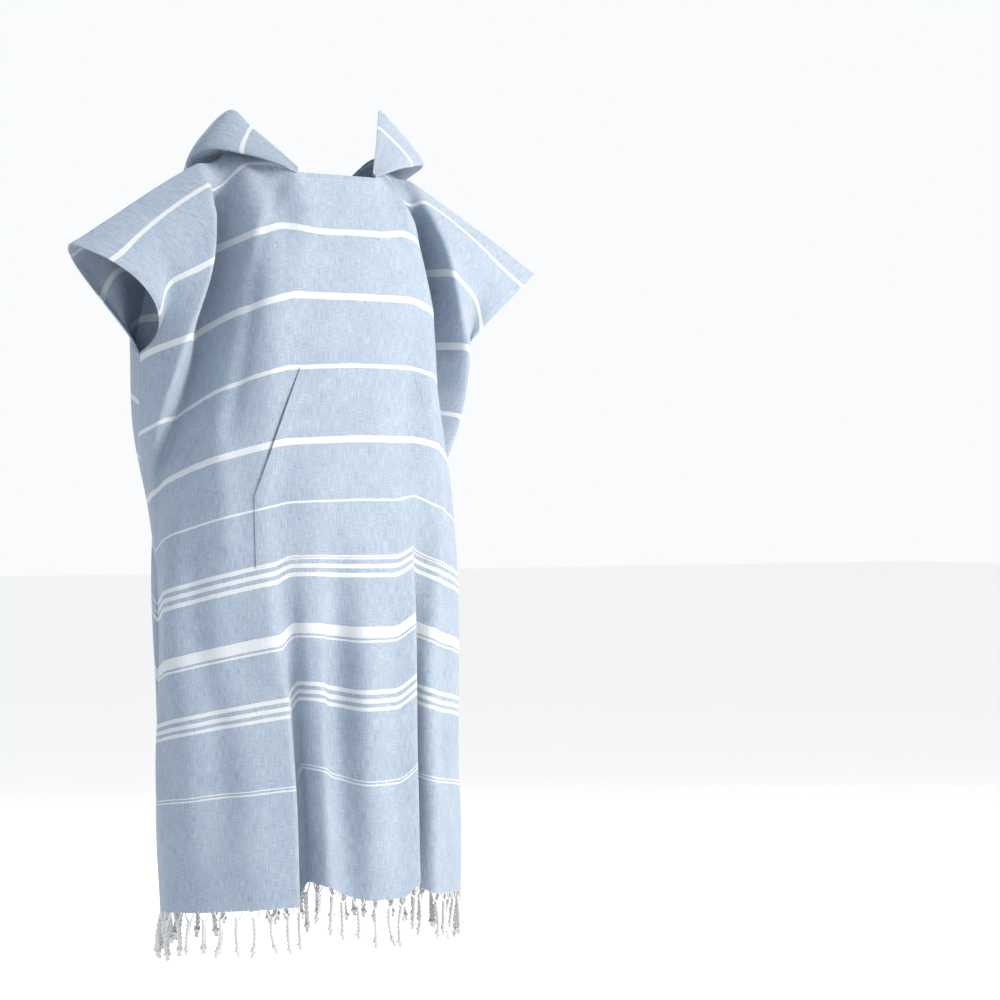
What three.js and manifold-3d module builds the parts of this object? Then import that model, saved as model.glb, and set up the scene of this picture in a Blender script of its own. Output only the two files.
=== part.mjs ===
// A hooded bath poncho of woven towelling, as it is worn, with its hood down on the back.
// Millimetres, +Z up, the front faces -Y and the wearer's left is +X.
// The origin is the middle of the neck between the shoulders, where the wearer carries it.
//
// Every panel is one thin wall worked out from the cut of the cloth: across is the place on the
// cloth to the left or right of the middle, down is the place below the shoulder fold.
import * as THREE from "three";
import { mergeVertices } from "three/addons/utils/BufferGeometryUtils.js";
import Module from "manifold-3d";

// Cut of the cloth
const HALF_CUT = 420; // from the middle of a panel to its cuff or side edge
const PANEL_LENGTH = 1062; // from the shoulder fold to the hem
const ARMHOLE = 222; // from the shoulder fold to the underarm
const CLOTH = 1.8; // thickness of the wall
const SEAM_GAP = 0.7; // trimmed off each panel where it meets the other

// Shoulders and sleeves
const SHOULDER_TOP = 20; // height of the shoulder fold beside the neck
const SHOULDER_DROP = 152; // from there down to the top of the cuff
const SHOULDER_ANGLE = 26.5; // degrees, mean slope of the shoulder fold
const SHOULDER_ROUND = 1.18; // 1 is a straight slope, more is rounder
const SHOULDER_REACH = 412; // from the middle to the cuff along the shoulder, folds laid in
const NECK_HALF = 88; // half of the width that lies level across the neck
const UNDERARM = { x: 262, y: 4, z: -281 };
const SLEEVE_STRETCH = { left: 1.035, right: 1 }; // how far the sleeve stands off on each side
const CREASE_FORWARD = 20; // how far the shoulder fold turns to the front at the cuff
const CREASE_DOWN = 7; // and how far it sinks there

// Tangents of the cloth where it leaves the shoulder fold and where it reaches the underarm line
const LEAVES = {
  chest: { x: 0, y: 0.4, z: -0.9 },
  shoulder: { x: -0.25, y: 0.95, z: -0.5 },
};
const ARRIVES = {
  chest: { x: 0, y: 0.1, z: -1 },
  cuff: { x: 0.35, y: -0.85, z: -0.45 },
};

// Each panel: depth of the cloth from the middle of the body, and the shape of its neckline
const FRONT = {
  name: "front",
  facing: -1,
  neckReach: 62,
  chestDepth: 130,
  neckDown: 45,
  neckFlat: 60,
  armpit: 1,
  cuffLeaves: { x: -1.2, y: 1, z: -0.5 },
};
const BACK = {
  name: "back",
  facing: 1,
  neckReach: 48,
  chestDepth: 124,
  neckDown: 44,
  neckFlat: 104,
  armpit: 0.85,
  cuffLeaves: { x: -0.55, y: 1.95, z: 0.1 },
};
const NECK_SIDE = 128; // place on the shoulder fold where the neck opening ends
const CHEST_HEIGHT = -193; // height of the underarm line at the middle of a panel
const CHEST_SHARE = 0.27; // share of the half panel that stays level with the middle
const HEM_HEIGHT = -1033; // hem at the middle of a panel
const HEM_SIDE_DROP = 17; // how far the side corners hang below that

// Rings of the body below the underarm
const RINGS = [
  { down: 222, halfWidth: 262, halfDepth: 134, square: 2.35, shift: 0 },
  { down: 325, halfWidth: 256, halfDepth: 138, square: 2.2, shift: -2 },
  { down: 480, halfWidth: 247, halfDepth: 141, square: 2.1, shift: -3 },
  { down: 700, halfWidth: 245, halfDepth: 142, square: 2.05, shift: 1 },
  { down: 1062, halfWidth: 232, halfDepth: 142, square: 2.05, shift: 14 },
];

// The deep fold between each sleeve and the body, which runs out to the side lower down. Its outer
// edge leans over it, towards the middle.
const ARMPIT_FOLD = [
  { down: 0, place: 158, depth: 10, inner: 40, outer: 36, lean: 0 },
  { down: 60, place: 192, depth: 40, inner: 74, outer: 52, lean: 12 },
  { down: 136, place: 238, depth: 66, inner: 120, outer: 66, lean: 24 },
  { down: 230, place: 286, depth: 66, inner: 165, outer: 66, lean: 26 },
  { down: 325, place: 316, depth: 44, inner: 190, outer: 62, lean: 20 },
  { down: 450, place: 342, depth: 16, inner: 180, outer: 56, lean: 6 },
  { down: 640, place: 360, depth: 0, inner: 150, outer: 50, lean: 0 },
  { down: 1062, place: 360, depth: 0, inner: 150, outer: 50, lean: 0 },
];

// The side seam swings inwards between the hip and the knee
const SIDE_FOLD = [
  { down: 222, depth: 0 },
  { down: 325, depth: 12 },
  { down: 450, depth: 42 },
  { down: 600, depth: 80 },
  { down: 700, depth: 76 },
  { down: 820, depth: 36 },
  { down: 930, depth: 8 },
  { down: 1062, depth: 0 },
];
const RING_STEPS = 48; // steps in which a quarter of a ring is walked
const SIDE_FOLD_REACH = 135;
const SIDE_FOLD_SHARE = { left: 1, right: 0.4 };

// On the wearer's right the side seam lies behind the side, so that the front wraps round it
const SEAM_BACK = { left: 0, right: 58 };
const SEAM_BACK_FULL = 430; // down the panel to where it has gone that far

// The weave hangs lower on the wearer's right between the underarm and the knee
const SAG = { left: 0, right: 18 };
const SAG_SPAN = { from: 222, full: 330, fades: 740, ends: 930 };

// Folds that open towards the hem, with their reach to the wearer's right and left
const HEM_FOLDS = {
  front: [
    { place: -120, from: 460, to: 960, depth: 36, right: 28, left: 58 },
    { place: -34, from: 420, to: 800, depth: 16, right: 40, left: 46 },
    { place: 138, from: 430, to: 760, depth: 36, right: 44, left: 48 },
  ],
  back: [
    { place: 6, from: 400, to: 1000, depth: 32, right: 62, left: 48 },
    { place: -176, from: 300, to: 800, depth: 38, right: 62, left: 60 },
    { place: 186, from: 260, to: 1000, depth: 24, right: 62, left: 60 },
  ],
};

// Places where the folds carry the cloth higher than beside them
const LIFTS = {
  front: [
    { place: -104, from: 440, to: 980, height: 30, right: 30, left: 116 },
    { place: 114, from: 400, to: 760, height: 26, right: 54, left: 82 },
  ],
  back: [{ place: -52, from: 380, to: 820, height: 26, right: 200, left: 56 }],
};

// Hood, thrown back. round runs from the front corner of the neck to the middle of the back, and
// across is the place on the neckline that it is sewn to. From there the cloth goes out to the
// bottom of its hanging fold and back up to the edge of the face opening.
const HOOD_RINGS = [
  { round: 0, across: 60, foldX: 64, foldY: -84, foldZ: -27, edgeX: 62, edgeY: -80, edgeZ: -22 },
  { round: 0.14, across: 82, foldX: 88, foldY: -74, foldZ: -18, edgeX: 81, edgeY: -56, edgeZ: 5 },
  { round: 0.28, across: 104, foldX: 122, foldY: -46, foldZ: -5, edgeX: 102, edgeY: -30, edgeZ: 32 },
  { round: 0.42, across: 128, foldX: 166, foldY: -4, foldZ: 3, edgeX: 125, edgeY: 0, edgeZ: 60 },
  { round: 0.56, across: 112, foldX: 162, foldY: 44, foldZ: -26, edgeX: 148, edgeY: 42, edgeZ: 6 },
  { round: 0.72, across: 88, foldX: 134, foldY: 106, foldZ: -112, edgeX: 126, edgeY: 92, edgeZ: -34 },
  { round: 0.86, across: 48, foldX: 84, foldY: 150, foldZ: -196, edgeX: 88, edgeY: 128, edgeZ: -46 },
  { round: 1, across: 0, foldX: 0, foldY: 168, foldZ: -236, edgeX: 0, edgeY: 142, edgeZ: -50 },
];
const HOOD_TIP_ROUND = 0.42; // where the front panel's neckline hands over to the back panel's
const HOOD_SIDE = { left: { raise: 19, spread: 30 }, right: { raise: 0, spread: 0 } };
const HOOD_ROLL = 15; // half of the gap between the two layers of the hanging hood
const HOOD_SEAM_GAP = 0.2; // each half of the hood stops this far from the middle
const HOOD_LIFT = 4.2; // the hood's seam lies this far above the panels' neckline

// Kangaroo pocket, laid on the outside of the front
const POCKET = {
  middle: 18,
  top: 325,
  slant: 165,
  bottom: 587,
  halfTop: 106,
  halfBottom: 178,
  thick: 1.5,
  gap: 2.3,
};

// Fringe along both hems
const FRINGE = {
  strands: 34,
  length: 66,
  wide: 5.4,
  knotWide: 7.6,
  knotDown: 56,
  stripHeight: 7,
  stripThick: 2.6,
  gap: 1.3,
  sway: 5,
};

const GRID = {
  panelAcross: [9, 7, 4, 4],
  panelDown: 24,
  hoodRound: 14,
  hoodLoop: 12,
  pocketAcross: 22,
  pocketDown: 11,
};

const toRadians = Math.PI / 180;

// Soft step from 0 at a to 1 at b.
function softStep(a, b, x) {
  const part = Math.min(1, Math.max(0, (x - a) / (b - a)));
  return part * part * (3 - 2 * part);
}

function mix(a, b, part) {
  return a + (b - a) * part;
}

function mixPoint(a, b, part) {
  return {
    x: mix(a.x, b.x, part),
    y: mix(a.y, b.y, part),
    z: mix(a.z, b.z, part),
  };
}

// Value of one column of a table at the place x of its key column, by a smooth curve through the rows.
function readRows(rows, key, column, x) {
  const last = rows.length - 1;
  if (x <= rows[0][key]) return rows[0][column];
  if (x >= rows[last][key]) return rows[last][column];
  let i = 0;
  while (rows[i + 1][key] < x) i += 1;
  const slope = (a, b) =>
    (rows[b][column] - rows[a][column]) / (rows[b][key] - rows[a][key]);
  const step = rows[i + 1][key] - rows[i][key];
  const part = (x - rows[i][key]) / step;
  const leave = slope(Math.max(0, i - 1), i + 1) * step;
  const arrive = slope(i, Math.min(last, i + 2)) * step;
  return curve(rows[i][column], leave, rows[i + 1][column], arrive, part);
}

// Cubic curve from a to b that leaves with one slope and arrives with the other.
function curve(a, leave, b, arrive, part) {
  const p2 = part * part;
  const p3 = p2 * part;
  return (
    (2 * p3 - 3 * p2 + 1) * a +
    (p3 - 2 * p2 + part) * leave +
    (3 * p2 - 2 * p3) * b +
    (p3 - p2) * arrive
  );
}

// The folds of a panel at one height, each with its place, its depth and its reach to both sides.
function foldsAt(panel, down) {
  const row = (column) => readRows(ARMPIT_FOLD, "down", column, down);
  const folds = [];
  for (const side of [-1, 1]) {
    const inner = row("inner");
    const outer = row("outer");
    folds.push({
      place: side * row("place"),
      depth: row("depth") * panel.armpit,
      right: side > 0 ? inner : outer,
      left: side > 0 ? outer : inner,
    });
    folds.push({
      place: side * HALF_CUT,
      depth:
        readRows(SIDE_FOLD, "down", "depth", down) *
        (side > 0 ? SIDE_FOLD_SHARE.left : SIDE_FOLD_SHARE.right),
      right: SIDE_FOLD_REACH,
      left: SIDE_FOLD_REACH,
    });
  }
  for (const fold of HEM_FOLDS[panel.name])
    folds.push({ ...fold, depth: fold.depth * softStep(fold.from, fold.to, down) });
  return folds;
}

// Cloth that the folds take up between the right edge and a place across: the cloth in each side
// of a fold is longer than the stretch of the ring under it.
function takenUp(folds, across) {
  let taken = 0;
  for (const { place, depth, right, left } of folds) {
    const spare = (reach) =>
      reach - Math.sqrt(reach ** 2 - Math.min(1.08 * depth, 0.93 * reach) ** 2);
    taken += spare(right) * softStep(place - right, place, across);
    taken += spare(left) * softStep(place, place + left, across);
  }
  return taken;
}

// Share of the half panel that lies between its middle and a place across, less what folds take
// up, and the length of cloth that they leave in the half panel.
function laidOut(folds, across) {
  const side = across < 0 ? -1 : 1;
  const middle = takenUp(folds, 0);
  const taken = side * (takenUp(folds, across) - middle);
  const takenInHalf = side * (takenUp(folds, side * HALF_CUT) - middle);
  const laid = HALF_CUT - takenInHalf;
  return { share: Math.max(0, (Math.abs(across) - taken) / laid), laid };
}

// How far the folds push the cloth inwards at a place across.
function pushedIn(folds, across) {
  let push = 0;
  for (const { place, depth, right, left } of folds)
    push += depth * bell(place, right, left, across);
  return push;
}

// A bell, 1 at its place and 0 beyond its reach to either side.
function bell(place, right, left, across) {
  const part = Math.abs(across - place) / (across < place ? right : left);
  return part < 1 ? Math.cos((part * Math.PI) / 2) ** 2 : 0;
}

// How far the outer edge of the fold at the sleeve leans towards the middle at a place across.
function leant(across, down) {
  const row = (column) => readRows(ARMPIT_FOLD, "down", column, down);
  const edge = Math.min(390, row("place") + row("outer"));
  const rest = HALF_CUT - 2 - edge;
  return Math.max(0, row("lean")) * bell(edge, row("outer"), rest, Math.abs(across));
}

// How much higher the folds carry the cloth at a place.
function lifted(panel, across, down) {
  return LIFTS[panel.name].reduce((height, one) => {
    const grown = softStep(one.from, one.to, down);
    return height + one.height * grown * bell(one.place, one.right, one.left, across);
  }, 0);
}

// Shoulder fold, or the line that would carry it on across the neck, at a share of the half panel.
function shoulderPoint(panel, share, side) {
  const reach = share * SHOULDER_REACH;
  const stretch = side > 0 ? SLEEVE_STRETCH.left : SLEEVE_STRETCH.right;
  const out = Math.max(0, reach - NECK_HALF) * stretch;
  const far = SHOULDER_REACH - NECK_HALF;
  const neck = 1 - softStep(60, NECK_SIDE, reach);
  const turned = softStep(0.4, 1, share);
  return {
    x: Math.min(reach, NECK_HALF) + out * Math.cos(SHOULDER_ANGLE * toRadians),
    y: panel.facing * panel.neckReach * neck - CREASE_FORWARD * turned,
    z:
      SHOULDER_TOP -
      8 * neck -
      CREASE_DOWN * turned -
      SHOULDER_DROP * Math.pow(out / far, SHOULDER_ROUND),
  };
}

// Angle by which the cloth faces to the side.
function facingAngle(share, down) {
  const turn = mix(mix(0.3, 1, softStep(60, 380, down)), 1, softStep(0.7, 1, share));
  return 90 * share * turn * toRadians;
}

// Direction that points out of the cloth: up on the shoulder fold, and level further down.
function outward(panel, share, down) {
  const angle = facingAngle(share, down);
  const level = softStep(0, 80, down);
  return {
    x: Math.sin(angle) * level,
    y: panel.facing * Math.cos(angle) * level,
    z: 1 - level,
  };
}

// Outline of a quarter of a ring, as steps along it: a rounded rectangle between an ellipse and a
// square.
function ringOutline(halfWidth, depth, square) {
  const outline = [];
  let length = 0;
  for (let i = 0; i <= RING_STEPS; i += 1) {
    const angle = (i / RING_STEPS) * (Math.PI / 2);
    const x = halfWidth * Math.pow(Math.sin(angle), 2 / square);
    const y = depth * Math.pow(Math.max(0, Math.cos(angle)), 2 / square);
    const before = outline[i - 1];
    if (before) length += Math.hypot(x - before.x, y - before.y);
    outline.push({ x, y: i === RING_STEPS ? 0 : y, length });
  }
  return outline;
}

// Point on an outline after a walk along it from the middle of a panel.
function walkOutline(outline, walked) {
  let i = 0;
  while (i < RING_STEPS - 1 && outline[i + 1].length < walked) i += 1;
  const a = outline[i];
  const b = outline[i + 1];
  const part = (walked - a.length) / (b.length - a.length);
  return { x: mix(a.x, b.x, part), y: mix(a.y, b.y, part) };
}

// Point of a ring of the body, found by walking it from the middle of a panel to the side seam,
// which may lie beyond the side. Where the cloth is longer than the ring, the middle lies smooth
// and the slack is towards the sides.
function ringPoint(panel, share, down, laid, side) {
  const row = (column) => readRows(RINGS, "down", column, down);
  const lower = softStep(ARMHOLE, 480, down);
  const middle = mix(UNDERARM.y, 0, lower);
  const outlineOf = (one) => {
    const top = one.chestDepth - one.facing * UNDERARM.y;
    return ringOutline(row("halfWidth"), mix(top, row("halfDepth"), lower), row("square"));
  };
  const own = outlineOf(panel);
  const quarter = own[RING_STEPS].length;
  const back = side > 0 ? SEAM_BACK.left : SEAM_BACK.right;
  const beyondSide = -panel.facing * back * softStep(ARMHOLE, SEAM_BACK_FULL, down);
  const whole = quarter + beyondSide;
  const near = Math.min(1, share);
  const slack = Math.max(0, laid / whole - 1);
  const walked = whole * near * (1 + slack * (1 - near));
  let at = null;
  let facing = panel.facing;
  if (walked <= quarter) at = walkOutline(own, walked);
  else {
    const other = outlineOf(panel === FRONT ? BACK : FRONT);
    at = walkOutline(other, other[RING_STEPS].length - (walked - quarter));
    facing = -facing;
  }
  const beyond = Math.max(0, (share - CHEST_SHARE) / (1 - CHEST_SHARE));
  const top = mix(CHEST_HEIGHT, UNDERARM.z, Math.pow(beyond, 1.15));
  const hem = HEM_HEIGHT - HEM_SIDE_DROP * share * share;
  const sag =
    (side > 0 ? SAG.left : SAG.right) *
    softStep(SAG_SPAN.from, SAG_SPAN.full, down) *
    (1 - softStep(SAG_SPAN.fades, SAG_SPAN.ends, down));
  return {
    x: at.x,
    y: middle + facing * at.y,
    z: mix(top, hem, (down - ARMHOLE) / (PANEL_LENGTH - ARMHOLE)) - sag * near,
  };
}

// Point of the cloth: between shoulder fold and underarm line on a cubic curve, below it on the
// rings, and pushed in by the folds.
function clothPoint(panel, across, down) {
  const side = across < 0 ? -1 : 1;
  const folds = foldsAt(panel, down);
  const { share, laid } = laidOut(folds, across);
  let point;
  if (down < ARMHOLE) {
    const part = down / ARMHOLE;
    const a = shoulderPoint(panel, share, side);
    const b = ringPoint(panel, share, ARMHOLE, laid, side);
    const over = softStep(0.14, 0.34, share);
    const late = softStep(0.55, 1, share);
    const leave = mixPoint(
      mixPoint(LEAVES.chest, LEAVES.shoulder, over),
      panel.cuffLeaves,
      late,
    );
    const arrive = mixPoint(
      ARRIVES.chest,
      ARRIVES.cuff,
      softStep(0.82, 1, share),
    );
    point = {
      x: curve(a.x, leave.x * ARMHOLE, b.x, arrive.x * ARMHOLE, part),
      y: curve(
        a.y,
        panel.facing * leave.y * ARMHOLE,
        b.y,
        panel.facing * arrive.y * ARMHOLE,
        part,
      ),
      z: curve(a.z, leave.z * ARMHOLE, b.z, arrive.z * ARMHOLE, part),
    };
  } else {
    point = ringPoint(panel, share, down, laid, side);
  }
  const out = outward(panel, share, down);
  const push = pushedIn(folds, across);
  const angle = facingAngle(share, down);
  const lean = leant(across, down);
  const shift = readRows(RINGS, "down", "shift", down);
  return [
    side * (point.x - out.x * push - Math.cos(angle) * lean) + shift,
    point.y - out.y * push + panel.facing * Math.sin(angle) * lean,
    point.z - out.z * push + lifted(panel, across, down),
  ];
}

// Where a panel starts below the shoulder fold: on the neckline near the middle, else at the fold.
function startOfPanel(panel, across) {
  return mix(
    panel.neckDown,
    SEAM_GAP,
    softStep(panel.neckFlat, NECK_SIDE, Math.abs(across)),
  );
}

function unit(v) {
  const length = Math.hypot(...v);
  return v.map((c) => c / length);
}

function cross(a, b) {
  return [
    a[1] * b[2] - a[2] * b[1],
    a[2] * b[0] - a[0] * b[2],
    a[0] * b[1] - a[1] * b[0],
  ];
}

function minus(a, b) {
  return [a[0] - b[0], a[1] - b[1], a[2] - b[2]];
}

// Unit normal of a surface at u, v, by small steps along both.
function normalOf(surface, u, v, uStep, vStep) {
  const alongU = minus(surface(u + uStep, v), surface(u - uStep, v));
  const alongV = minus(surface(u, v + vStep), surface(u, v - vStep));
  return unit(cross(alongU, alongV));
}

// Closed wall over a grid of points: one layer at each of two distances along the normals, and a
// rim round the border.
function wall(points, normals, inside, outside) {
  const rows = points.length;
  const columns = points[0].length;
  const layer = (distance) =>
    points.map((row, j) =>
      row.map((p, i) => p.map((c, k) => c + normals[j][i][k] * distance)),
    );
  const inner = layer(inside);
  const outer = layer(outside);
  const corners = [];
  const face = (a, b, c, d) => corners.push(a, b, c, a, c, d);
  for (let j = 0; j + 1 < rows; j += 1)
    for (let i = 0; i + 1 < columns; i += 1) {
      const at = (grid) => [
        grid[j][i],
        grid[j][i + 1],
        grid[j + 1][i + 1],
        grid[j + 1][i],
      ];
      face(...at(outer));
      face(...at(inner).reverse());
    }
  for (let i = 0; i + 1 < columns; i += 1) {
    face(inner[0][i], inner[0][i + 1], outer[0][i + 1], outer[0][i]);
    const j = rows - 1;
    face(outer[j][i], outer[j][i + 1], inner[j][i + 1], inner[j][i]);
  }
  for (let j = 0; j + 1 < rows; j += 1) {
    face(inner[j + 1][0], inner[j][0], outer[j][0], outer[j + 1][0]);
    const i = columns - 1;
    face(inner[j][i], inner[j + 1][i], outer[j + 1][i], outer[j][i]);
  }
  const geometry = new THREE.BufferGeometry();
  geometry.setAttribute(
    "position",
    new THREE.Float32BufferAttribute(corners.flat(), 3),
  );
  return geometry;
}

// Places across a panel at one height. The columns follow the fold between sleeve and body, so
// that its bottom and both its edges run along a line of the grid.
function placesAcross(down) {
  const row = (column) => readRows(ARMPIT_FOLD, "down", column, down);
  const knots = [
    0,
    row("place") - row("inner"),
    row("place"),
    row("place") + row("outer"),
    HALF_CUT,
  ];
  const half = [0];
  GRID.panelAcross.forEach((cells, zone) => {
    for (let i = 1; i <= cells; i += 1)
      half.push(mix(knots[zone], knots[zone + 1], i / cells));
  });
  const other = half.slice(1).map((place) => -place);
  return [...other.reverse(), ...half];
}

// Places down a panel as shares of its length, closer together over the shoulders.
function sharesDown() {
  const shares = [];
  for (let j = 0; j <= GRID.panelDown; j += 1) {
    const part = j / GRID.panelDown;
    shares.push(0.55 * part + 0.45 * part * part);
  }
  return shares;
}

// Place across beside the side seam where the cloth is half of the gap away from it.
function beside(surface, down, side) {
  const seam = surface(side * HALF_CUT, down);
  const near = surface(side * (HALF_CUT - 2), down);
  const pace = Math.hypot(...minus(seam, near)) / 2;
  return side * (HALF_CUT - Math.min(3, SEAM_GAP / 2 / pace));
}

// Normal that both panels share at the side seam, so that they lie flush there: the mean of
// theirs, turned to the given panel's sense.
function seamNormal(panel, down, side) {
  const mean = [0, 0, 0];
  for (const one of [FRONT, BACK]) {
    const surface = (across, at) => clothPoint(one, across, at);
    const normal = normalOf(surface, side * (HALF_CUT - 2), down, 1.5, 2);
    normal.forEach((c, k) => (mean[k] += one.facing * c));
  }
  return unit(mean).map((c) => panel.facing * c);
}

// Grid points of a panel at places across and down it, with their normals. At the side seam the
// points are moved in by half of the gap.
function laidRow(panel, places) {
  const surface = (across, down) => clothPoint(panel, across, down);
  const row = places.map(([across, down]) => {
    const side = across < 0 ? -1 : 1;
    const seam = Math.abs(across) === HALF_CUT;
    if (!seam) return [surface(across, down), normalOf(surface, across, down, 2, 2)];
    if (down <= ARMHOLE)
      return [surface(across, down), normalOf(surface, side * (HALF_CUT - 2), down, 1.5, 2)];
    return [surface(beside(surface, down, side), down), seamNormal(panel, down, side)];
  });
  return { points: row.map(([point]) => point), normals: row.map(([, normal]) => normal) };
}

function panelGrid(panel) {
  const rows = sharesDown().map((share) =>
    laidRow(
      panel,
      placesAcross(PANEL_LENGTH * share).map((across) => [
        across,
        mix(startOfPanel(panel, across), PANEL_LENGTH, share),
      ]),
    ),
  );
  return { points: rows.map((row) => row.points), normals: rows.map((row) => row.normals) };
}

function panelWall(panel) {
  const { points, normals } = panelGrid(panel);
  return wall(points, normals, -CLOTH / 2, CLOTH / 2);
}

// Point of one half of the hood: round is 0 at the front corner of the neck and 1 at the middle
// of the back, loop is 0 at the neck seam, 0.5 at the bottom of the hanging fold and 1 at the
// edge of the face opening.
function hoodPoint(side, round, loop) {
  const row = (column) => readRows(HOOD_RINGS, "round", column, round);
  const panel = round < HOOD_TIP_ROUND ? FRONT : BACK;
  const across = row("across");
  const seam = clothPoint(panel, across, startOfPanel(panel, across));
  seam[0] -= readRows(RINGS, "down", "shift", 0);
  seam[2] += HOOD_LIFT;
  const own = side > 0 ? HOOD_SIDE.left : HOOD_SIDE.right;
  const tip = Math.exp(-(((round - HOOD_TIP_ROUND) / 0.2) ** 2));
  const fold = [row("foldX") + own.spread * tip, row("foldY"), row("foldZ")];
  const edge = [row("edgeX"), row("edgeY"), row("edgeZ") + own.raise * tip];
  const size = Math.hypot(...minus(fold, seam));
  const roll = Math.min(HOOD_ROLL, size * 0.3);
  const away = unit([fold[0] - seam[0] * 0.4, fold[1] - seam[1] * 0.4, 0]);
  const sideways = away.map((c) => c * roll * 4);
  const point = [0, 1, 2].map((k) =>
    loop < 0.5
      ? curve(seam[k], sideways[k] * 0.7, fold[k], sideways[k], loop * 2)
      : curve(fold[k], sideways[k], edge[k], -sideways[k] * 0.3, loop * 2 - 1),
  );
  return [side * Math.max(point[0], 0), point[1], point[2]];
}

function hoodWall(side) {
  const surface = (round, loop) => hoodPoint(side, round, loop);
  const points = [];
  const normals = [];
  for (let j = 0; j <= GRID.hoodLoop; j += 1) {
    const row = [];
    const rowNormals = [];
    for (let i = 0; i <= GRID.hoodRound; i += 1) {
      const round = i / GRID.hoodRound;
      const loop = j / GRID.hoodLoop;
      const p = surface(round, loop);
      if (i === GRID.hoodRound) p[0] = side * HOOD_SEAM_GAP;
      row.push(p);
      const n = normalOf(
        surface,
        Math.min(0.995, Math.max(0.005, round)),
        Math.min(0.99, Math.max(0.01, loop)),
        0.004,
        0.008,
      );
      if (i === GRID.hoodRound) n[0] = 0;
      rowNormals.push(n);
    }
    points.push(row);
    normals.push(rowNormals);
  }
  return wall(points, normals, -CLOTH / 2, CLOTH / 2);
}

// Half of the pocket's width at a place down: the hand openings slant in above the straight sides.
function pocketHalf(down) {
  const part = Math.min(1, (down - POCKET.top) / POCKET.slant);
  return mix(POCKET.halfTop, POCKET.halfBottom, part);
}

function pocketWall() {
  const surface = (across, down) => clothPoint(FRONT, across, down);
  const inside = CLOTH / 2 + POCKET.gap; // the front panel's normals point into the body
  const points = [];
  const normals = [];
  for (let j = 0; j <= GRID.pocketDown; j += 1) {
    const down = mix(POCKET.top, POCKET.bottom, j / GRID.pocketDown);
    const row = [];
    for (let i = 0; i <= GRID.pocketAcross; i += 1)
      row.push(
        POCKET.middle + pocketHalf(down) * ((2 * i) / GRID.pocketAcross - 1),
      );
    points.push(row.map((across) => surface(across, down)));
    normals.push(row.map((across) => normalOf(surface, across, down, 2, 2)));
  }
  return wall(points, normals, -inside - POCKET.thick, -inside);
}

const library = await Module();
library.setup();

// Solid of a closed geometry, for joining.
function solidOf(geometry) {
  const merged = mergeVertices(geometry, 1e-4);
  return new library.Manifold(
    new library.Mesh({
      numProp: 3,
      vertProperties: merged.attributes.position.array,
      triVerts: new Uint32Array(merged.index.array),
    }),
  );
}

function geometryOf(solid) {
  const mesh = solid.getMesh();
  const geometry = new THREE.BufferGeometry();
  geometry.setAttribute(
    "position",
    new THREE.Float32BufferAttribute(mesh.vertProperties, 3),
  );
  geometry.setIndex(new THREE.BufferAttribute(mesh.triVerts, 1));
  return geometry.toNonIndexed();
}

// One strand of the fringe: a three-sided cord that thickens at its knot.
function strand(root, lean) {
  const levels = [
    { down: -3.5, wide: FRINGE.wide * 0.8 },
    { down: FRINGE.knotDown, wide: FRINGE.wide },
    { down: FRINGE.knotDown + 3, wide: FRINGE.knotWide },
    { down: FRINGE.length, wide: FRINGE.wide * 0.6 },
  ];
  const sides = 3;
  const rings = levels.map(({ down, wide }) => {
    const part = Math.max(0, down) / FRINGE.length;
    const ring = [];
    for (let i = 0; i < sides; i += 1) {
      const angle = (i / sides) * 2 * Math.PI;
      ring.push([
        root[0] + lean[0] * part + (wide / 2) * Math.cos(angle),
        root[1] + lean[1] * part + (wide / 2) * Math.sin(angle),
        root[2] - down,
      ]);
    }
    return ring;
  });
  const corners = [];
  for (let j = 0; j + 1 < rings.length; j += 1)
    for (let i = 0; i < sides; i += 1) {
      const k = (i + 1) % sides;
      corners.push(rings[j][i], rings[j + 1][i], rings[j + 1][k]);
      corners.push(rings[j][i], rings[j + 1][k], rings[j][k]);
    }
  const end = rings[rings.length - 1];
  corners.push(rings[0][0], rings[0][1], rings[0][2]);
  corners.push(end[0], end[2], end[1]);
  const geometry = new THREE.BufferGeometry();
  geometry.setAttribute(
    "position",
    new THREE.Float32BufferAttribute(corners.flat(), 3),
  );
  return solidOf(geometry);
}

// Fringe of one panel: a narrow strip just below the hem, with the strands hanging from it.
function fringe(panel) {
  const top = PANEL_LENGTH + FRINGE.gap;
  const places = placesAcross(PANEL_LENGTH);
  const rows = [top, top + FRINGE.stripHeight].map((down) =>
    laidRow(
      panel,
      places.map((across) => [across, down]),
    ),
  );
  const points = rows.map((row) => row.points);
  const normals = rows.map((row) => row.normals);
  const half = FRINGE.stripThick / 2;
  const strip = solidOf(wall(points, normals, -half, half));
  const strands = [];
  const foot = points[1];
  for (let i = 0; i < FRINGE.strands; i += 1) {
    const across = HALF_CUT * (((i + 0.5) / FRINGE.strands) * 2 - 1);
    const column = places.findIndex((place) => place > across) - 1;
    const part =
      (across - places[column]) / (places[column + 1] - places[column]);
    const root = foot[column].map((c, k) => mix(c, foot[column + 1][k], part));
    const lean = [
      FRINGE.sway * Math.sin(i * 2.1),
      FRINGE.sway * Math.cos(i * 3.7),
    ];
    strands.push(strand(root, lean));
  }
  return geometryOf(
    strands.reduce((whole, one) => whole.add(one), strip),
  );
}

const cloth = new THREE.MeshStandardMaterial({
  color: 0xbfd2e4,
  roughness: 0.95,
  metalness: 0,
});
const hoodCloth = new THREE.MeshStandardMaterial({
  color: 0xb6c8da,
  roughness: 0.95,
  metalness: 0,
});
const fringeYarn = new THREE.MeshStandardMaterial({
  color: 0xf4f5f6,
  roughness: 0.95,
  metalness: 0,
});

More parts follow.
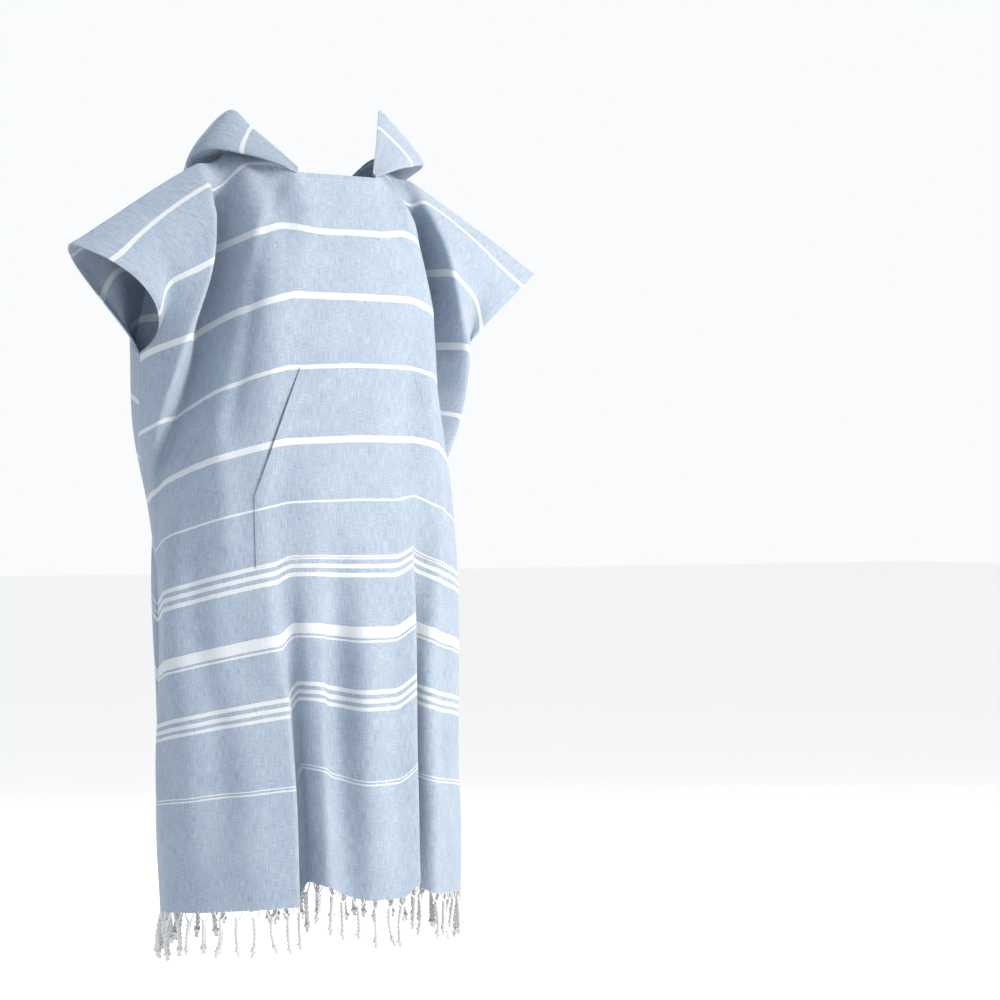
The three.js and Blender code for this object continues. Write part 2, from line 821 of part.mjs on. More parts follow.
const poncho = new THREE.Group();
function addPiece(name, geometry, material) {
  const mesh = new THREE.Mesh(geometry, material);
  mesh.name = name;
  poncho.add(mesh);
}

addPiece("front_panel", panelWall(FRONT), cloth);
addPiece("back_panel", panelWall(BACK), cloth);
addPiece("hood_left", hoodWall(1), hoodCloth);
addPiece("hood_right", hoodWall(-1), hoodCloth);
addPiece("front_pocket", pocketWall(), cloth);
addPiece("front_fringe", fringe(FRONT), fringeYarn);
addPiece("back_fringe", fringe(BACK), fringeYarn);

export default poncho;
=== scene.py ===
"""Looks of a hooded bath poncho of striped, flat-woven cotton, as it is worn with its hood down.

The file is laid out as an add-on and is run as a script. Each piece of cloth is worked out from its
cut: across is the place on the cloth to the left or right of the middle of a panel, and down is the
place below its shoulder fold. Shapes are worked out in millimetres and become meshes in metres.
+Z is up, the front faces -Y and the wearer's left is +X.
"""

import math
from types import SimpleNamespace

import bpy
import numpy as np
from bpy.props import FloatProperty, FloatVectorProperty, IntProperty, PointerProperty
from mathutils import Matrix, Vector


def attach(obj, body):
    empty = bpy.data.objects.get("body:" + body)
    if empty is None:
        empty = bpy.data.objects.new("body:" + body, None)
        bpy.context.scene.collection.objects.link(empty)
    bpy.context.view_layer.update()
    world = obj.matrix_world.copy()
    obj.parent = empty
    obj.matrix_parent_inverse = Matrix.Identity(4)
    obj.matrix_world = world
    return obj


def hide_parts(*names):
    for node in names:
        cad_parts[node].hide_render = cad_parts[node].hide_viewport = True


bl_info = {
    "name": "Hooded bath poncho",
    "version": (1, 0, 0),
    "blender": (4, 5, 0),
    "location": "3D View > Sidebar > Poncho",
    "description": "Cloth, hood, pocket, fringe and stitching of a hooded bath poncho",
    "category": "Add Mesh",
}

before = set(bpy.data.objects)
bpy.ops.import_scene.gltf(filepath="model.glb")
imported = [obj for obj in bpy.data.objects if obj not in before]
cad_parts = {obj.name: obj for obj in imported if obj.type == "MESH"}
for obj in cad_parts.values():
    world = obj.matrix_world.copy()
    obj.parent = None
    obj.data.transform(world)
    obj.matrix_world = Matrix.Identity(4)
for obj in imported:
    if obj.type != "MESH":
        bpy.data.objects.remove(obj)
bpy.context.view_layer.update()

MM = 0.001


def rows(columns, values):
    """A table: one array for each named column."""
    return dict(zip(columns.split(), np.array(values, float).T))


def each_row(table):
    """The rows of a table, one after the other."""
    return zip(*table.values())


def for_panels(columns, **panels):
    """Tables with the same columns for the front and for the back."""
    return {name: rows(columns, values) for name, values in panels.items()}


# Cut of the cloth, in millimetres
HALF_CUT = 420
PANEL_LENGTH = 1062
ARMHOLE = 222
SEAM_GAP = 0.7

# Shoulders and sleeves
SHOULDER_TOP = 20
SHOULDER_DROP = 152
SHOULDER_ANGLE = math.radians(26.5)
SHOULDER_ROUND = 1.18
SHOULDER_REACH = 412
NECK_HALF = 88
NECK_SIDE = 128
UNDERARM = np.array((262.0, 4.0, -281.0))
SLEEVE_STRETCH = {1: 1.035, -1: 1}
CREASE_FORWARD = 20
CREASE_DOWN = 7
CHEST_LEAVES = np.array((0, 0.4, -0.9))
SHOULDER_LEAVES = np.array((-0.25, 0.95, -0.5))
CHEST_ARRIVES = np.array((0, 0.1, -1))
CUFF_ARRIVES = np.array((0.35, -0.85, -0.45))
CHEST_HEIGHT = -193
CHEST_SHARE = 0.27
HEM_HEIGHT = -1033
HEM_SIDE_DROP = 17

FRONT = SimpleNamespace(
    name="front",
    facing=-1,
    neck_reach=62,
    chest_depth=130,
    neck_down=45,
    neck_flat=60,
    armpit=1,
    cuff_leaves=np.array((-1.2, 1, -0.5)),
)
BACK = SimpleNamespace(
    name="back",
    facing=1,
    neck_reach=48,
    chest_depth=124,
    neck_down=44,
    neck_flat=104,
    armpit=0.85,
    cuff_leaves=np.array((-0.55, 1.95, 0.1)),
)

# Rings of the body below the underarm
RINGS = rows(
    "down half_width half_depth square shift",
    (
        (222, 262, 134, 2.35, 0),
        (325, 256, 138, 2.2, -2),
        (480, 247, 141, 2.1, -3),
        (700, 245, 142, 2.05, 1),
        (1062, 232, 142, 2.05, 14),
    ),
)
RING_DOWNS = 85  # rings that are worked out ahead, and places on each
RING_PLACES = 241
RING_STEPS = 480  # steps along each outline before it is resampled

# The deep fold between each sleeve and the body, whose outer edge leans over it
ARMPIT_FOLD = rows(
    "down place depth inner outer lean",
    (
        (0, 158, 10, 40, 36, 0),
        (60, 192, 40, 74, 52, 12),
        (136, 238, 66, 120, 66, 24),
        (230, 286, 66, 165, 66, 26),
        (325, 316, 44, 190, 62, 20),
        (450, 342, 16, 180, 56, 6),
        (640, 360, 0, 150, 50, 0),
        (1062, 360, 0, 150, 50, 0),
    ),
)

# The side seam swings inwards between the hip and the knee
SIDE_FOLD = rows(
    "down depth",
    ((222, 0), (325, 12), (450, 42), (600, 80), (700, 76), (820, 36), (930, 8), (1062, 0)),
)
SIDE_FOLD_REACH = 135
SIDE_FOLD_SHARE = {-1: 0.4, 1: 1}

# On the wearer's right the side seam lies behind the side
SEAM_BACK = {-1: 58, 1: 0}
SEAM_BACK_FULL = 430

# The weave hangs lower on the wearer's right between the underarm and the knee
SAG = {-1: 18, 1: 0}
SAG_SPAN = SimpleNamespace(start=222, full=330, fades=740, ends=930)

# Folds that open towards the hem
HEM_FOLDS = for_panels(
    "place start full depth right left",
    front=(
        (-120, 460, 960, 36, 28, 58),
        (-34, 420, 800, 16, 40, 46),
        (138, 430, 760, 36, 44, 48),
    ),
    back=(
        (6, 400, 1000, 32, 62, 48),
        (-176, 300, 800, 38, 62, 60),
        (186, 260, 1000, 24, 62, 60),
    ),
)

# Places where the folds carry the cloth higher than beside them
LIFTS = for_panels(
    "place start full height right left",
    front=(
        (-104, 440, 980, 30, 30, 116),
        (114, 400, 760, 26, 54, 82),
    ),
    back=(
        (-52, 380, 820, 26, 200, 56),
    ),
)

# Softer creases, only in the looks: a trough along a line on the cloth, or a ridge where the depth
# is below zero
CREASES = for_panels(
    "across down to_across to_down depth width",
    front=(
        (-66, 46, -150, 170, 4, 9),
        (-84, 70, -190, 210, -3.5, 12),
        (-40, 60, -110, 260, -3, 18),
        (62, 48, 122, 110, 3, 8),
        (58, 52, 96, 170, 3, 10),
        (74, 56, 170, 130, -3, 12),
        (-150, 150, -205, 430, 4.5, 17),
        (-120, 240, -160, 600, -4.5, 22),
        (-215, 330, -196, 620, -5, 20),
        (-262, 420, -240, 980, 5, 22),
        (-300, 560, -306, 1062, -4, 24),
        (10, 80, 30, 330, -2.5, 34),
        (-32, 560, -42, 1062, 6.5, 19),
        (-88, 560, -96, 1062, -5, 15),
        (14, 600, 14, 1062, -5, 22),
        (60, 560, 58, 1062, 4, 17),
        (100, 560, 96, 1062, -5, 16),
        (176, 520, 184, 1062, -6, 15),
        (222, 600, 232, 1062, 5, 18),
        (110, 240, 96, 560, 3.5, 20),
        (150, 200, 146, 560, -4, 18),
        (196, 300, 214, 560, 4, 18),
    ),
    back=(
        (-80, 60, -140, 260, 3, 16),
        (90, 60, 150, 250, 3, 16),
        (-60, 380, -70, 1062, -4, 24),
        (110, 420, 96, 1062, 4, 22),
        (-250, 500, -262, 1062, -4, 26),
        (56, 300, 60, 1062, 4, 20),
        (250, 380, 262, 1062, -4, 24),
    ),
)

# Slow ripples of the hanging cloth: how many, their lengths on the cloth, and their height
RIPPLES = 16
RIPPLE_LENGTHS = (70, 240)
RIPPLE_HEIGHT = 0.55
RIPPLE_LEAN = 0.22
SLOPE_STEP = 2.0  # step on the cloth over which its slope is measured

# Hood, thrown back
HOOD_RINGS = rows(
    "around across fold_x fold_y fold_z edge_x edge_y edge_z",
    (
        (0, 60, 64, -84, -27, 62, -80, -22),
        (0.14, 82, 88, -74, -18, 81, -56, 5),
        (0.28, 104, 122, -46, -5, 102, -30, 32),
        (0.42, 128, 166, -4, 3, 125, 0, 60),
        (0.56, 112, 162, 44, -26, 148, 42, 6),
        (0.72, 88, 134, 106, -112, 126, 92, -34),
        (0.86, 48, 84, 150, -196, 88, 128, -46),
        (1, 0, 0, 168, -236, 0, 142, -50),
    ),
)
HOOD_TIP = 0.42
HOOD_TIP_REACH = 0.2
HOOD_RAISE = {1: 19, -1: 0}
HOOD_SPREAD = {1: 30, -1: 0}
HOOD_ROLL = 15
HOOD_SEAM_GAP = 0.2
HOOD_LIFT = 4.2

# Places on the hood's grid: its columns run round the neck and its lines up the loop
HOOD_COLUMNS = 84
HOOD_LINES = 96
HOOD_STRIPE_LINE = -14  # line near the face edge along which the stripes are set out
HOOD_STRIPE_COLUMN = 30  # column up which the cloth is measured
HOOD_EDGE_STITCHES = -9
HOOD_NECK_STITCHES = 3
HOOD_BACK_STITCHES = -3

POCKET = SimpleNamespace(
    middle=18,
    top=325,
    slant=165,
    bottom=587,
    half_top=106,
    half_bottom=178,
)
POCKET_LIFT = 1.35  # middle of the pocket's cloth above that of the front

# Fringe: its yarns meet below the hem and go on as one strand, which leans, bows and ends in a knot
FRINGE = SimpleNamespace(
    meets_below=11,
    lean=4.2,
    bow=2.4,
    length_share=(0.84, 1.06),
    knot_share=(0.78, 0.86),
    knot_half=0.045,
    knot_swell=0.75,
    rings=30,
    yarn_rings=7,
    yarn_radius=(1.0, 1.7),
)

# Stripes, by the place down of their middle
SINGLE = ((-3.7, 3.7),)
THIN_SINGLE = ((-2.6, 2.6),)
THIN_DOUBLE = ((-3.6, -1.4), (1.4, 3.6))
TRIPLE = ((-14.6, -9.2), (-2.6, 2.6), (9.2, 14.6))
BROAD = ((-12.4, -11.2), (-8, 8), (11.2, 12.4))
STRIPES = {
    "front": (
        *((down, SINGLE) for down in (38, 135, 228, 323, 423)),
        (505, THIN_DOUBLE),
        (599, TRIPLE),
        (690, BROAD),
        (785, TRIPLE),
        (899, THIN_DOUBLE),
    ),
    "back": (
        *((down, SINGLE) for down in (46, 121, 200, 281, 358, 439)),
        (517, THIN_DOUBLE),
        (606, TRIPLE),
        (700, BROAD),
        (798, TRIPLE),
        (896, THIN_DOUBLE),
    ),
    "hood": tuple((down, THIN_SINGLE) for down in (-280, -208, -136, -64, 46)),
}
RAMP_STOPS = 32


def soft_step(a, b, x):
    """Soft step from 0 at a to 1 at b."""
    part = np.clip((x - a) / (b - a), 0, 1)
    return part * part * (3 - 2 * part)


def mix(a, b, part):
    """Straight line from a to b."""
    return a + (b - a) * part


def curve(a, leave, b, arrive, part):
    """Cubic curve from a to b that leaves with one slope and arrives with the other."""
    p2 = part * part
    p3 = p2 * part
    return (
        (2 * p3 - 3 * p2 + 1) * a
        + (p3 - 2 * p2 + part) * leave
        + (3 * p2 - 2 * p3) * b
        + (p3 - p2) * arrive
    )


def read(table, column, x, key="down"):
    """Value of a table's column at x of its key column: a cubic through the rows, whose slope at a
    row is that of the chord between its neighbours."""
    places, values = table[key], table[column]
    last = len(places) - 1
    i = np.clip(np.searchsorted(places, x, side="left") - 1, 0, last - 1)
    before, after = np.maximum(i - 1, 0), np.minimum(i + 2, last)
    step = places[i + 1] - places[i]
    leave = (values[i + 1] - values[before]) / (places[i + 1] - places[before]) * step
    arrive = (values[after] - values[i]) / (places[after] - places[i]) * step
    part = np.clip((x - places[i]) / step, 0, 1)
    return curve(values[i], leave, values[i + 1], arrive, part)


def unit(vectors):
    """Vectors divided by their lengths."""
    return vectors / np.linalg.norm(vectors, axis=-1, keepdims=True)


def folds_at(panel, down):
    """Place, depth and reach to the right and left of each main fold of a panel, at each down."""
    folds = []
    place, depth, inner, outer = (
        read(ARMPIT_FOLD, column, down) for column in ("place", "depth", "inner", "outer")
    )
    swing = read(SIDE_FOLD, "depth", down)
    for side in (-1, 1):
        right, left = (inner, outer) if side > 0 else (outer, inner)
        folds.append((side * place, depth * panel.armpit, right, left))
        reach = np.full_like(down, SIDE_FOLD_REACH)
        folds.append((np.full_like(down, side * HALF_CUT), swing * SIDE_FOLD_SHARE[side], reach, reach))
    for place, start, full, depth, right, left in each_row(HEM_FOLDS[panel.name]):
        folds.append((place, depth * soft_step(start, full, down), right, left))
    return folds


def taken_up(folds, across):
    """Cloth that the folds take up to the right of a place: each side of a fold is longer than the
    stretch of the ring under it, as a slope is longer than its foot."""
    taken = 0
    for place, depth, right, left in folds:
        for reach, start, end in ((right, place - right, place), (left, place, place + left)):
            rise = np.minimum(1.08 * depth, 0.93 * reach)
            spare = reach - np.sqrt(reach * reach - rise * rise)
            taken = taken + spare * soft_step(start, end, across)
    return taken


def laid_out(folds, across):
    """Share of the half panel between its middle and a place, less what the folds take up, and the
    length that they leave in the half panel."""
    side = np.where(across < 0, -1, 1)
    middle = taken_up(folds, 0)
    laid = HALF_CUT - side * (taken_up(folds, side * HALF_CUT) - middle)
    taken = side * (taken_up(folds, across) - middle)
    return np.maximum(0, (np.abs(across) - taken) / laid), laid


def bell(place, right, left, across):
    """A squared cosine: 1 at its place and 0 beyond its reach to either side."""
    part = np.minimum(1, np.abs(across - place) / np.where(across < place, right, left))
    return np.cos(part * math.pi / 2) ** 2


def pushed_in(folds, across):
    """How far the folds push the cloth inwards: the sum of their bells, each times its depth."""
    return sum(depth * bell(place, right, left, across) for place, depth, right, left in folds)


def leant(across, down):
    """How far the outer edge of the fold at the sleeve leans towards the middle."""
    outer = read(ARMPIT_FOLD, "outer", down)
    edge = np.minimum(390, read(ARMPIT_FOLD, "place", down) + outer)
    lean = np.maximum(0, read(ARMPIT_FOLD, "lean", down))
    return lean * bell(edge, outer, HALF_CUT - 2 - edge, np.abs(across))


def lifted(panel, across, down):
    """How much higher the folds carry the cloth: a bell for each place, grown by a soft step."""
    return sum(
        height * soft_step(start, full, down) * bell(place, right, left, across)
        for place, start, full, height, right, left in each_row(LIFTS[panel.name])
    )


def shoulder_point(panel, share, side):
    """Shoulder fold at a share of the half panel: level over the neck, then a slope that rounds
    off as a power of the distance, and turns to the front towards the cuff."""
    reach = share * SHOULDER_REACH
    out = np.maximum(0, reach - NECK_HALF) * np.where(side > 0, SLEEVE_STRETCH[1], SLEEVE_STRETCH[-1])
    neck = 1 - soft_step(60, NECK_SIDE, reach)
    turned = soft_step(0.4, 1, share)
    drop = SHOULDER_DROP * (out / (SHOULDER_REACH - NECK_HALF)) ** SHOULDER_ROUND
    x = np.minimum(reach, NECK_HALF) + out * math.cos(SHOULDER_ANGLE)
    y = panel.facing * panel.neck_reach * neck - CREASE_FORWARD * turned
    return np.stack((x, y, SHOULDER_TOP - 8 * neck - CREASE_DOWN * turned - drop), -1)


def facing_angle(share, down):
    """Angle by which the cloth faces to the side: it turns from the middle of a panel outwards."""
    turn = mix(mix(0.3, 1, soft_step(60, 380, down)), 1, soft_step(0.7, 1, share))
    return share * turn * math.pi / 2


def outward(panel, share, down):
    """Direction out of the cloth: up on the shoulder fold and level lower down."""
    angle = facing_angle(share, down)
    level = soft_step(0, 80, down)
    return np.stack(
        (np.sin(angle) * level, panel.facing * np.cos(angle) * level, 1 - level), -1
    )


def rings_of(panel):
    """Outlines of the panel's rings: quarters of rounded rectangles, resampled at even distances."""
    down = np.linspace(ARMHOLE, PANEL_LENGTH, RING_DOWNS)[:, None]
    angle = np.linspace(0, math.pi / 2, RING_STEPS + 1)
    lower = soft_step(ARMHOLE, 480, down)
    depth = mix(panel.chest_depth - panel.facing * UNDERARM[1], read(RINGS, "half_depth", down), lower)
    power = 2 / read(RINGS, "square", down)
    x = read(RINGS, "half_width", down) * np.sin(angle) ** power
    y = depth * np.maximum(0, np.cos(angle)) ** power
    y[:, -1] = 0
    steps = np.hypot(np.diff(x), np.diff(y))
    walked = np.concatenate((np.zeros_like(down), np.cumsum(steps, axis=1)), axis=1)
    even = np.linspace(0, 1, RING_PLACES)
    return SimpleNamespace(
        quarter=walked[:, -1],
        x=np.array([np.interp(even * w[-1], w, v) for w, v in zip(walked, x)]),
        y=np.array([np.interp(even * w[-1], w, v) for w, v in zip(walked, y)]),
    )


RING_OUTLINES = {"front": rings_of(FRONT), "back": rings_of(BACK)}


def ring_point(panel, share, down, laid, side):
    """Point of a ring of the body, found by walking it from the middle of a panel to the side seam,
    which may lie beyond the side. Slack cloth lies towards the sides."""
    level = np.clip((down - ARMHOLE) / (PANEL_LENGTH - ARMHOLE), 0, 1) * (RING_DOWNS - 1)
    j = np.minimum(level.astype(int), RING_DOWNS - 2)
    v = level - j

    def quarter_of(rings):
        return mix(rings.quarter[j], rings.quarter[j + 1], v)

    def place_on(rings, reach):
        place = np.clip(reach, 0, 1) * (RING_PLACES - 1)
        i = np.minimum(place.astype(int), RING_PLACES - 2)
        u = place - i
        return (
            mix(mix(r[j, i], r[j, i + 1], u), mix(r[j + 1, i], r[j + 1, i + 1], u), v)
            for r in (rings.x, rings.y)
        )

    own = RING_OUTLINES[panel.name]
    other = RING_OUTLINES["back" if panel is FRONT else "front"]
    quarter = quarter_of(own)
    back = np.where(side > 0, SEAM_BACK[1], SEAM_BACK[-1])
    whole = quarter - panel.facing * back * soft_step(ARMHOLE, SEAM_BACK_FULL, down)
    near = np.minimum(1, share)
    slack = np.maximum(0, laid / whole - 1)
    walked = whole * near * (1 + slack * (1 - near))
    past = walked > quarter
    own_x, own_y = place_on(own, walked / quarter)
    other_x, other_y = place_on(other, 1 - (walked - quarter) / quarter_of(other))
    x = np.where(past, other_x, own_x)
    y = np.where(past, -other_y, own_y) * panel.facing
    middle = mix(UNDERARM[1], 0, soft_step(ARMHOLE, 480, down))
    beyond = np.maximum(0, (share - CHEST_SHARE) / (1 - CHEST_SHARE))
    top = mix(CHEST_HEIGHT, UNDERARM[2], beyond**1.15)
    hem = HEM_HEIGHT - HEM_SIDE_DROP * share * share
    fall = (np.maximum(down, ARMHOLE) - ARMHOLE) / (PANEL_LENGTH - ARMHOLE)
    sag = np.where(side > 0, SAG[1], SAG[-1]) * soft_step(SAG_SPAN.start, SAG_SPAN.full, down)
    sag = sag * (1 - soft_step(SAG_SPAN.fades, SAG_SPAN.ends, down)) * near
    return np.stack((x, middle + y, mix(top, hem, fall) - sag), -1)


def cloth_point(panel, across, down):
    """Point of the cloth: on a cubic curve between the shoulder fold and the underarm line, on the
    rings below, and pushed in by the main folds."""
    across, down = np.broadcast_arrays(np.asarray(across, float), np.asarray(down, float))
    side = np.where(across < 0, -1, 1)
    folds = folds_at(panel, down)
    share, laid = laid_out(folds, across)
    body = ring_point(panel, share, np.maximum(down, ARMHOLE), laid, side)
    part = np.clip(down / ARMHOLE, -0.1, 1)[..., None]
    over = soft_step(0.14, 0.34, share)[..., None]
    late = soft_step(0.55, 1, share)[..., None]
    to_panel = np.array((1, panel.facing, 1)) * ARMHOLE
    leave = mix(mix(CHEST_LEAVES, SHOULDER_LEAVES, over), panel.cuff_leaves, late) * to_panel
    arrive = mix(CHEST_ARRIVES, CUFF_ARRIVES, soft_step(0.82, 1, share)[..., None]) * to_panel
    chest = curve(shoulder_point(panel, share, side), leave, body, arrive, part)
    point = np.where((down < ARMHOLE)[..., None], chest, body)
    point = point - outward(panel, share, down) * pushed_in(folds, across)[..., None]
    angle = facing_angle(share, down)
    lean = leant(across, down)
    point[..., 0] = side * (point[..., 0] - np.cos(angle) * lean) + read(RINGS, "shift", down)
    point[..., 1] += panel.facing * np.sin(angle) * lean
    point[..., 2] += lifted(panel, across, down)
    return point


def start_of(panel, across):
    """Where a panel starts: on the neckline near the middle, else at the shoulder fold."""
    return mix(panel.neck_down, SEAM_GAP / 2, soft_step(panel.neck_flat, NECK_SIDE, np.abs(across)))


def outside_of(panel, across, down):
    """Unit vectors to the outside of a panel: cross product of small steps across and down."""
    step = SLOPE_STEP
    along = cloth_point(panel, across + step, down) - cloth_point(panel, across - step, down)
    lower = cloth_point(panel, across, down + step) - cloth_point(panel, across, down - step)
    return unit(np.cross(along, lower)) * panel.facing


def crease_height(panel, across, down):
    """Height of the soft creases and ripples: a bell across each crease's line that fades at both
    of its ends, and a sum of seeded sine waves that grows towards the hem. It fades out where the
    panels meet."""
    height = np.zeros(np.broadcast(across, down).shape)
    for a, b, to_a, to_b, depth, width in each_row(CREASES[panel.name]):
        length = math.hypot(to_a - a, to_b - b)
        way = ((to_a - a) / length, (to_b - b) / length)
        along = ((across - a) * way[0] + (down - b) * way[1]) / length
        off = (across - a) * way[1] - (down - b) * way[0]
        fade = soft_step(-0.05, 0.3, along) * (1 - soft_step(0.7, 1.05, along))
        height -= depth * fade * np.exp(-((off / width) ** 2))
    chance = np.random.default_rng(11 if panel is FRONT else 12)
    waves = 0
    for _ in range(RIPPLES):
        length = chance.uniform(*RIPPLE_LENGTHS)
        lean = chance.normal(0, RIPPLE_LEAN)
        phase = chance.uniform(0, 2 * math.pi)
        waves = waves + np.sin(2 * math.pi * (across + down * lean) / length + phase)
    height = height + waves * RIPPLE_HEIGHT * mix(0.35, 1, soft_step(150, 700, down))
    at_seam = soft_step(366, 414, np.abs(across)) * soft_step(120, 200, down)
    return height * (1 - at_seam) * soft_step(-1, 14, down - start_of(panel, across))


def surface(panel, across, down, lift=0.0):
    """Point of the dressed cloth, lifted off it to the outside."""
    across, down = np.broadcast_arrays(np.asarray(across, float), np.asarray(down, float))
    height = crease_height(panel, across, down) + lift
    return cloth_point(panel, across, down) + outside_of(panel, across, down) * height[..., None]


def grid_normals(points):
    """Unit normals of a grid of points: cross product of its slopes along rows and down columns."""
    return unit(np.cross(np.gradient(points, axis=1), np.gradient(points, axis=0)))


def mesh_of(name, points, faces, cloth=None):
    """Mesh in metres from points in millimetres, arrays of faces that each have one number of
    corners, and the place of each point on the cloth."""
    corners = np.concatenate([f.ravel() for f in faces]).astype(np.int32)
    counts = np.concatenate([np.full(len(f), f.shape[1]) for f in faces])
    mesh = bpy.data.meshes.new(name)
    mesh.vertices.add(len(points))
    mesh.vertices.foreach_set("co", (points * MM).astype(np.float32).ravel())
    mesh.loops.add(len(corners))
    mesh.loops.foreach_set("vertex_index", corners)
    mesh.polygons.add(len(counts))
    mesh.polygons.foreach_set("loop_start", (np.cumsum(counts) - counts).astype(np.int32))
    mesh.update(calc_edges=True)
    if cloth is not None:
        places = mesh.uv_layers.new(name="Cloth")
        places.uv.foreach_set("vector", (cloth[corners] * MM).astype(np.float32).ravel())
    mesh.shade_smooth()
    mesh.set_sharp_from_angle(angle=math.radians(55))
    return mesh


def quads(a, b, c, d):
    """Faces with four corners, one array of indices for each corner."""
    return np.stack((a, b, c, d), -1).reshape(-1, 4)


def shell(low, high):
    """Points and faces of a closed shell between two layers on one grid, high being on the side
    that the grid's normals point to."""
    size = low.shape[0] * low.shape[1]
    index = np.arange(size).reshape(low.shape[:2])
    top = index + size
    border = np.concatenate((index[0, :], index[1:, -1], index[-1, -2::-1], index[-2:0:-1, 0]))
    after = np.roll(border, -1)
    faces = (
        quads(top[:-1, :-1], top[:-1, 1:], top[1:, 1:], top[1:, :-1]),
        quads(index[1:, :-1], index[1:, 1:], index[:-1, 1:], index[:-1, :-1]),
        quads(border, after, after + size, border + size),
    )
    return np.concatenate((low.reshape(-1, 3), high.reshape(-1, 3))), [np.concatenate(faces)]


def cloth_shell(name, points, half, places):
    """Closed shell of cloth over a grid, half a thickness to either side of it."""
    normals = grid_normals(points) * half[..., None]
    vertices, faces = shell(points - normals, points + normals)
    flat = places.reshape(-1, 2)
    return mesh_of(name, vertices, faces, np.concatenate((flat, flat)))


def tubes(centres, radii, sides, lobes=0, lobe_depth=0.0, turns=0.0):
    """Points and faces of many closed cords at once: rings round each centreline, whose radius
    swells and shrinks in lobes that wind along the cord, and a point at either end."""
    strands, rings = centres.shape[:2]
    along = unit(np.gradient(centres, axis=1))
    aside = unit(np.cross(along, np.array((0.02, 1.0, 0.0))))
    other = np.cross(along, aside)
    angle = np.arange(sides) / sides * 2 * math.pi
    wind = np.linspace(0, turns * 2 * math.pi, rings)[:, None]
    swell = 1 + lobe_depth * np.cos(lobes * (angle[None, :] - wind))
    size = radii[..., None] * swell[None]
    ring = (
        centres[:, :, None]
        + aside[:, :, None] * (size * np.cos(angle))[..., None]
        + other[:, :, None] * (size * np.sin(angle))[..., None]
    )
    ends = np.stack((centres[:, 0], centres[:, -1]), 1)
    points = np.concatenate((ring.reshape(strands, -1, 3), ends), 1)
    index = np.arange(rings * sides).reshape(rings, sides)
    after = np.roll(index, -1, axis=1)
    body = quads(index[:-1], after[:-1], after[1:], index[1:])
    first, last = rings * sides, rings * sides + 1
    start = np.stack((after[0], index[0], np.full(sides, first)), -1)
    end = np.stack((index[-1], after[-1], np.full(sides, last)), -1)
    offsets = (np.arange(strands) * (rings * sides + 2))[:, None, None]
    return points.reshape(-1, 3), [
        (body[None] + offsets).reshape(-1, 4),
        (np.concatenate((start, end))[None] + offsets).reshape(-1, 3),
    ]


def joined(parts):
    """Points and faces of several pieces as those of one."""
    points, faces, start = [], [], 0
    for p, f in parts:
        points.append(p)
        faces += [x + start for x in f]
        start += len(p)
    return np.concatenate(points), faces


def stitches(line, normals, pitch=3.6, length=2.6, radius=0.32):
    """Points and faces of a row of stitches along a line: a spindle with four sides every pitch,
    half sunk in the cloth."""
    steps = np.linalg.norm(np.diff(line, axis=0), axis=1)
    walked = np.concatenate(((0,), np.cumsum(steps)))
    starts = np.arange(pitch / 2, walked[-1] - length, pitch)

    def at(distances, values):
        return np.stack([np.interp(distances, walked, values[:, k]) for k in range(3)], -1)

    a, b, middle = at(starts, line), at(starts + length, line), at(starts + length / 2, line)
    up = unit(at(starts, normals))
    aside = unit(np.cross(b - a, up))
    round_it = (middle + way * radius for way in (up, aside, -up, -aside))
    points = np.stack((a, *round_it, b), 1)
    spindle = np.array(
        ((0, 1, 2), (0, 2, 3), (0, 3, 4), (0, 4, 1), (5, 2, 1), (5, 3, 2), (5, 4, 3), (5, 1, 4))
    )
    faces = (spindle[None] + (np.arange(len(a)) * 6)[:, None, None]).reshape(-1, 3)
    return points.reshape(-1, 3), [faces[:, ::-1]]


def stitch_row(panel, across, down, lift):
    """Row of stitches on the outside of a panel."""
    line = surface(panel, across, down, lift)
    return stitches(line, outside_of(panel, np.asarray(across, float), np.asarray(down, float)))


def add_piece(name, mesh, material, nodes):
    """Object of a finished piece: it rides on the root body and stands for its CAD nodes."""
    piece = bpy.data.objects.new(name, mesh)
    bpy.context.scene.collection.objects.link(piece)
    mesh.materials.append(material)
    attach(piece, "root")
    if nodes:
        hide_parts(*nodes)
    return piece


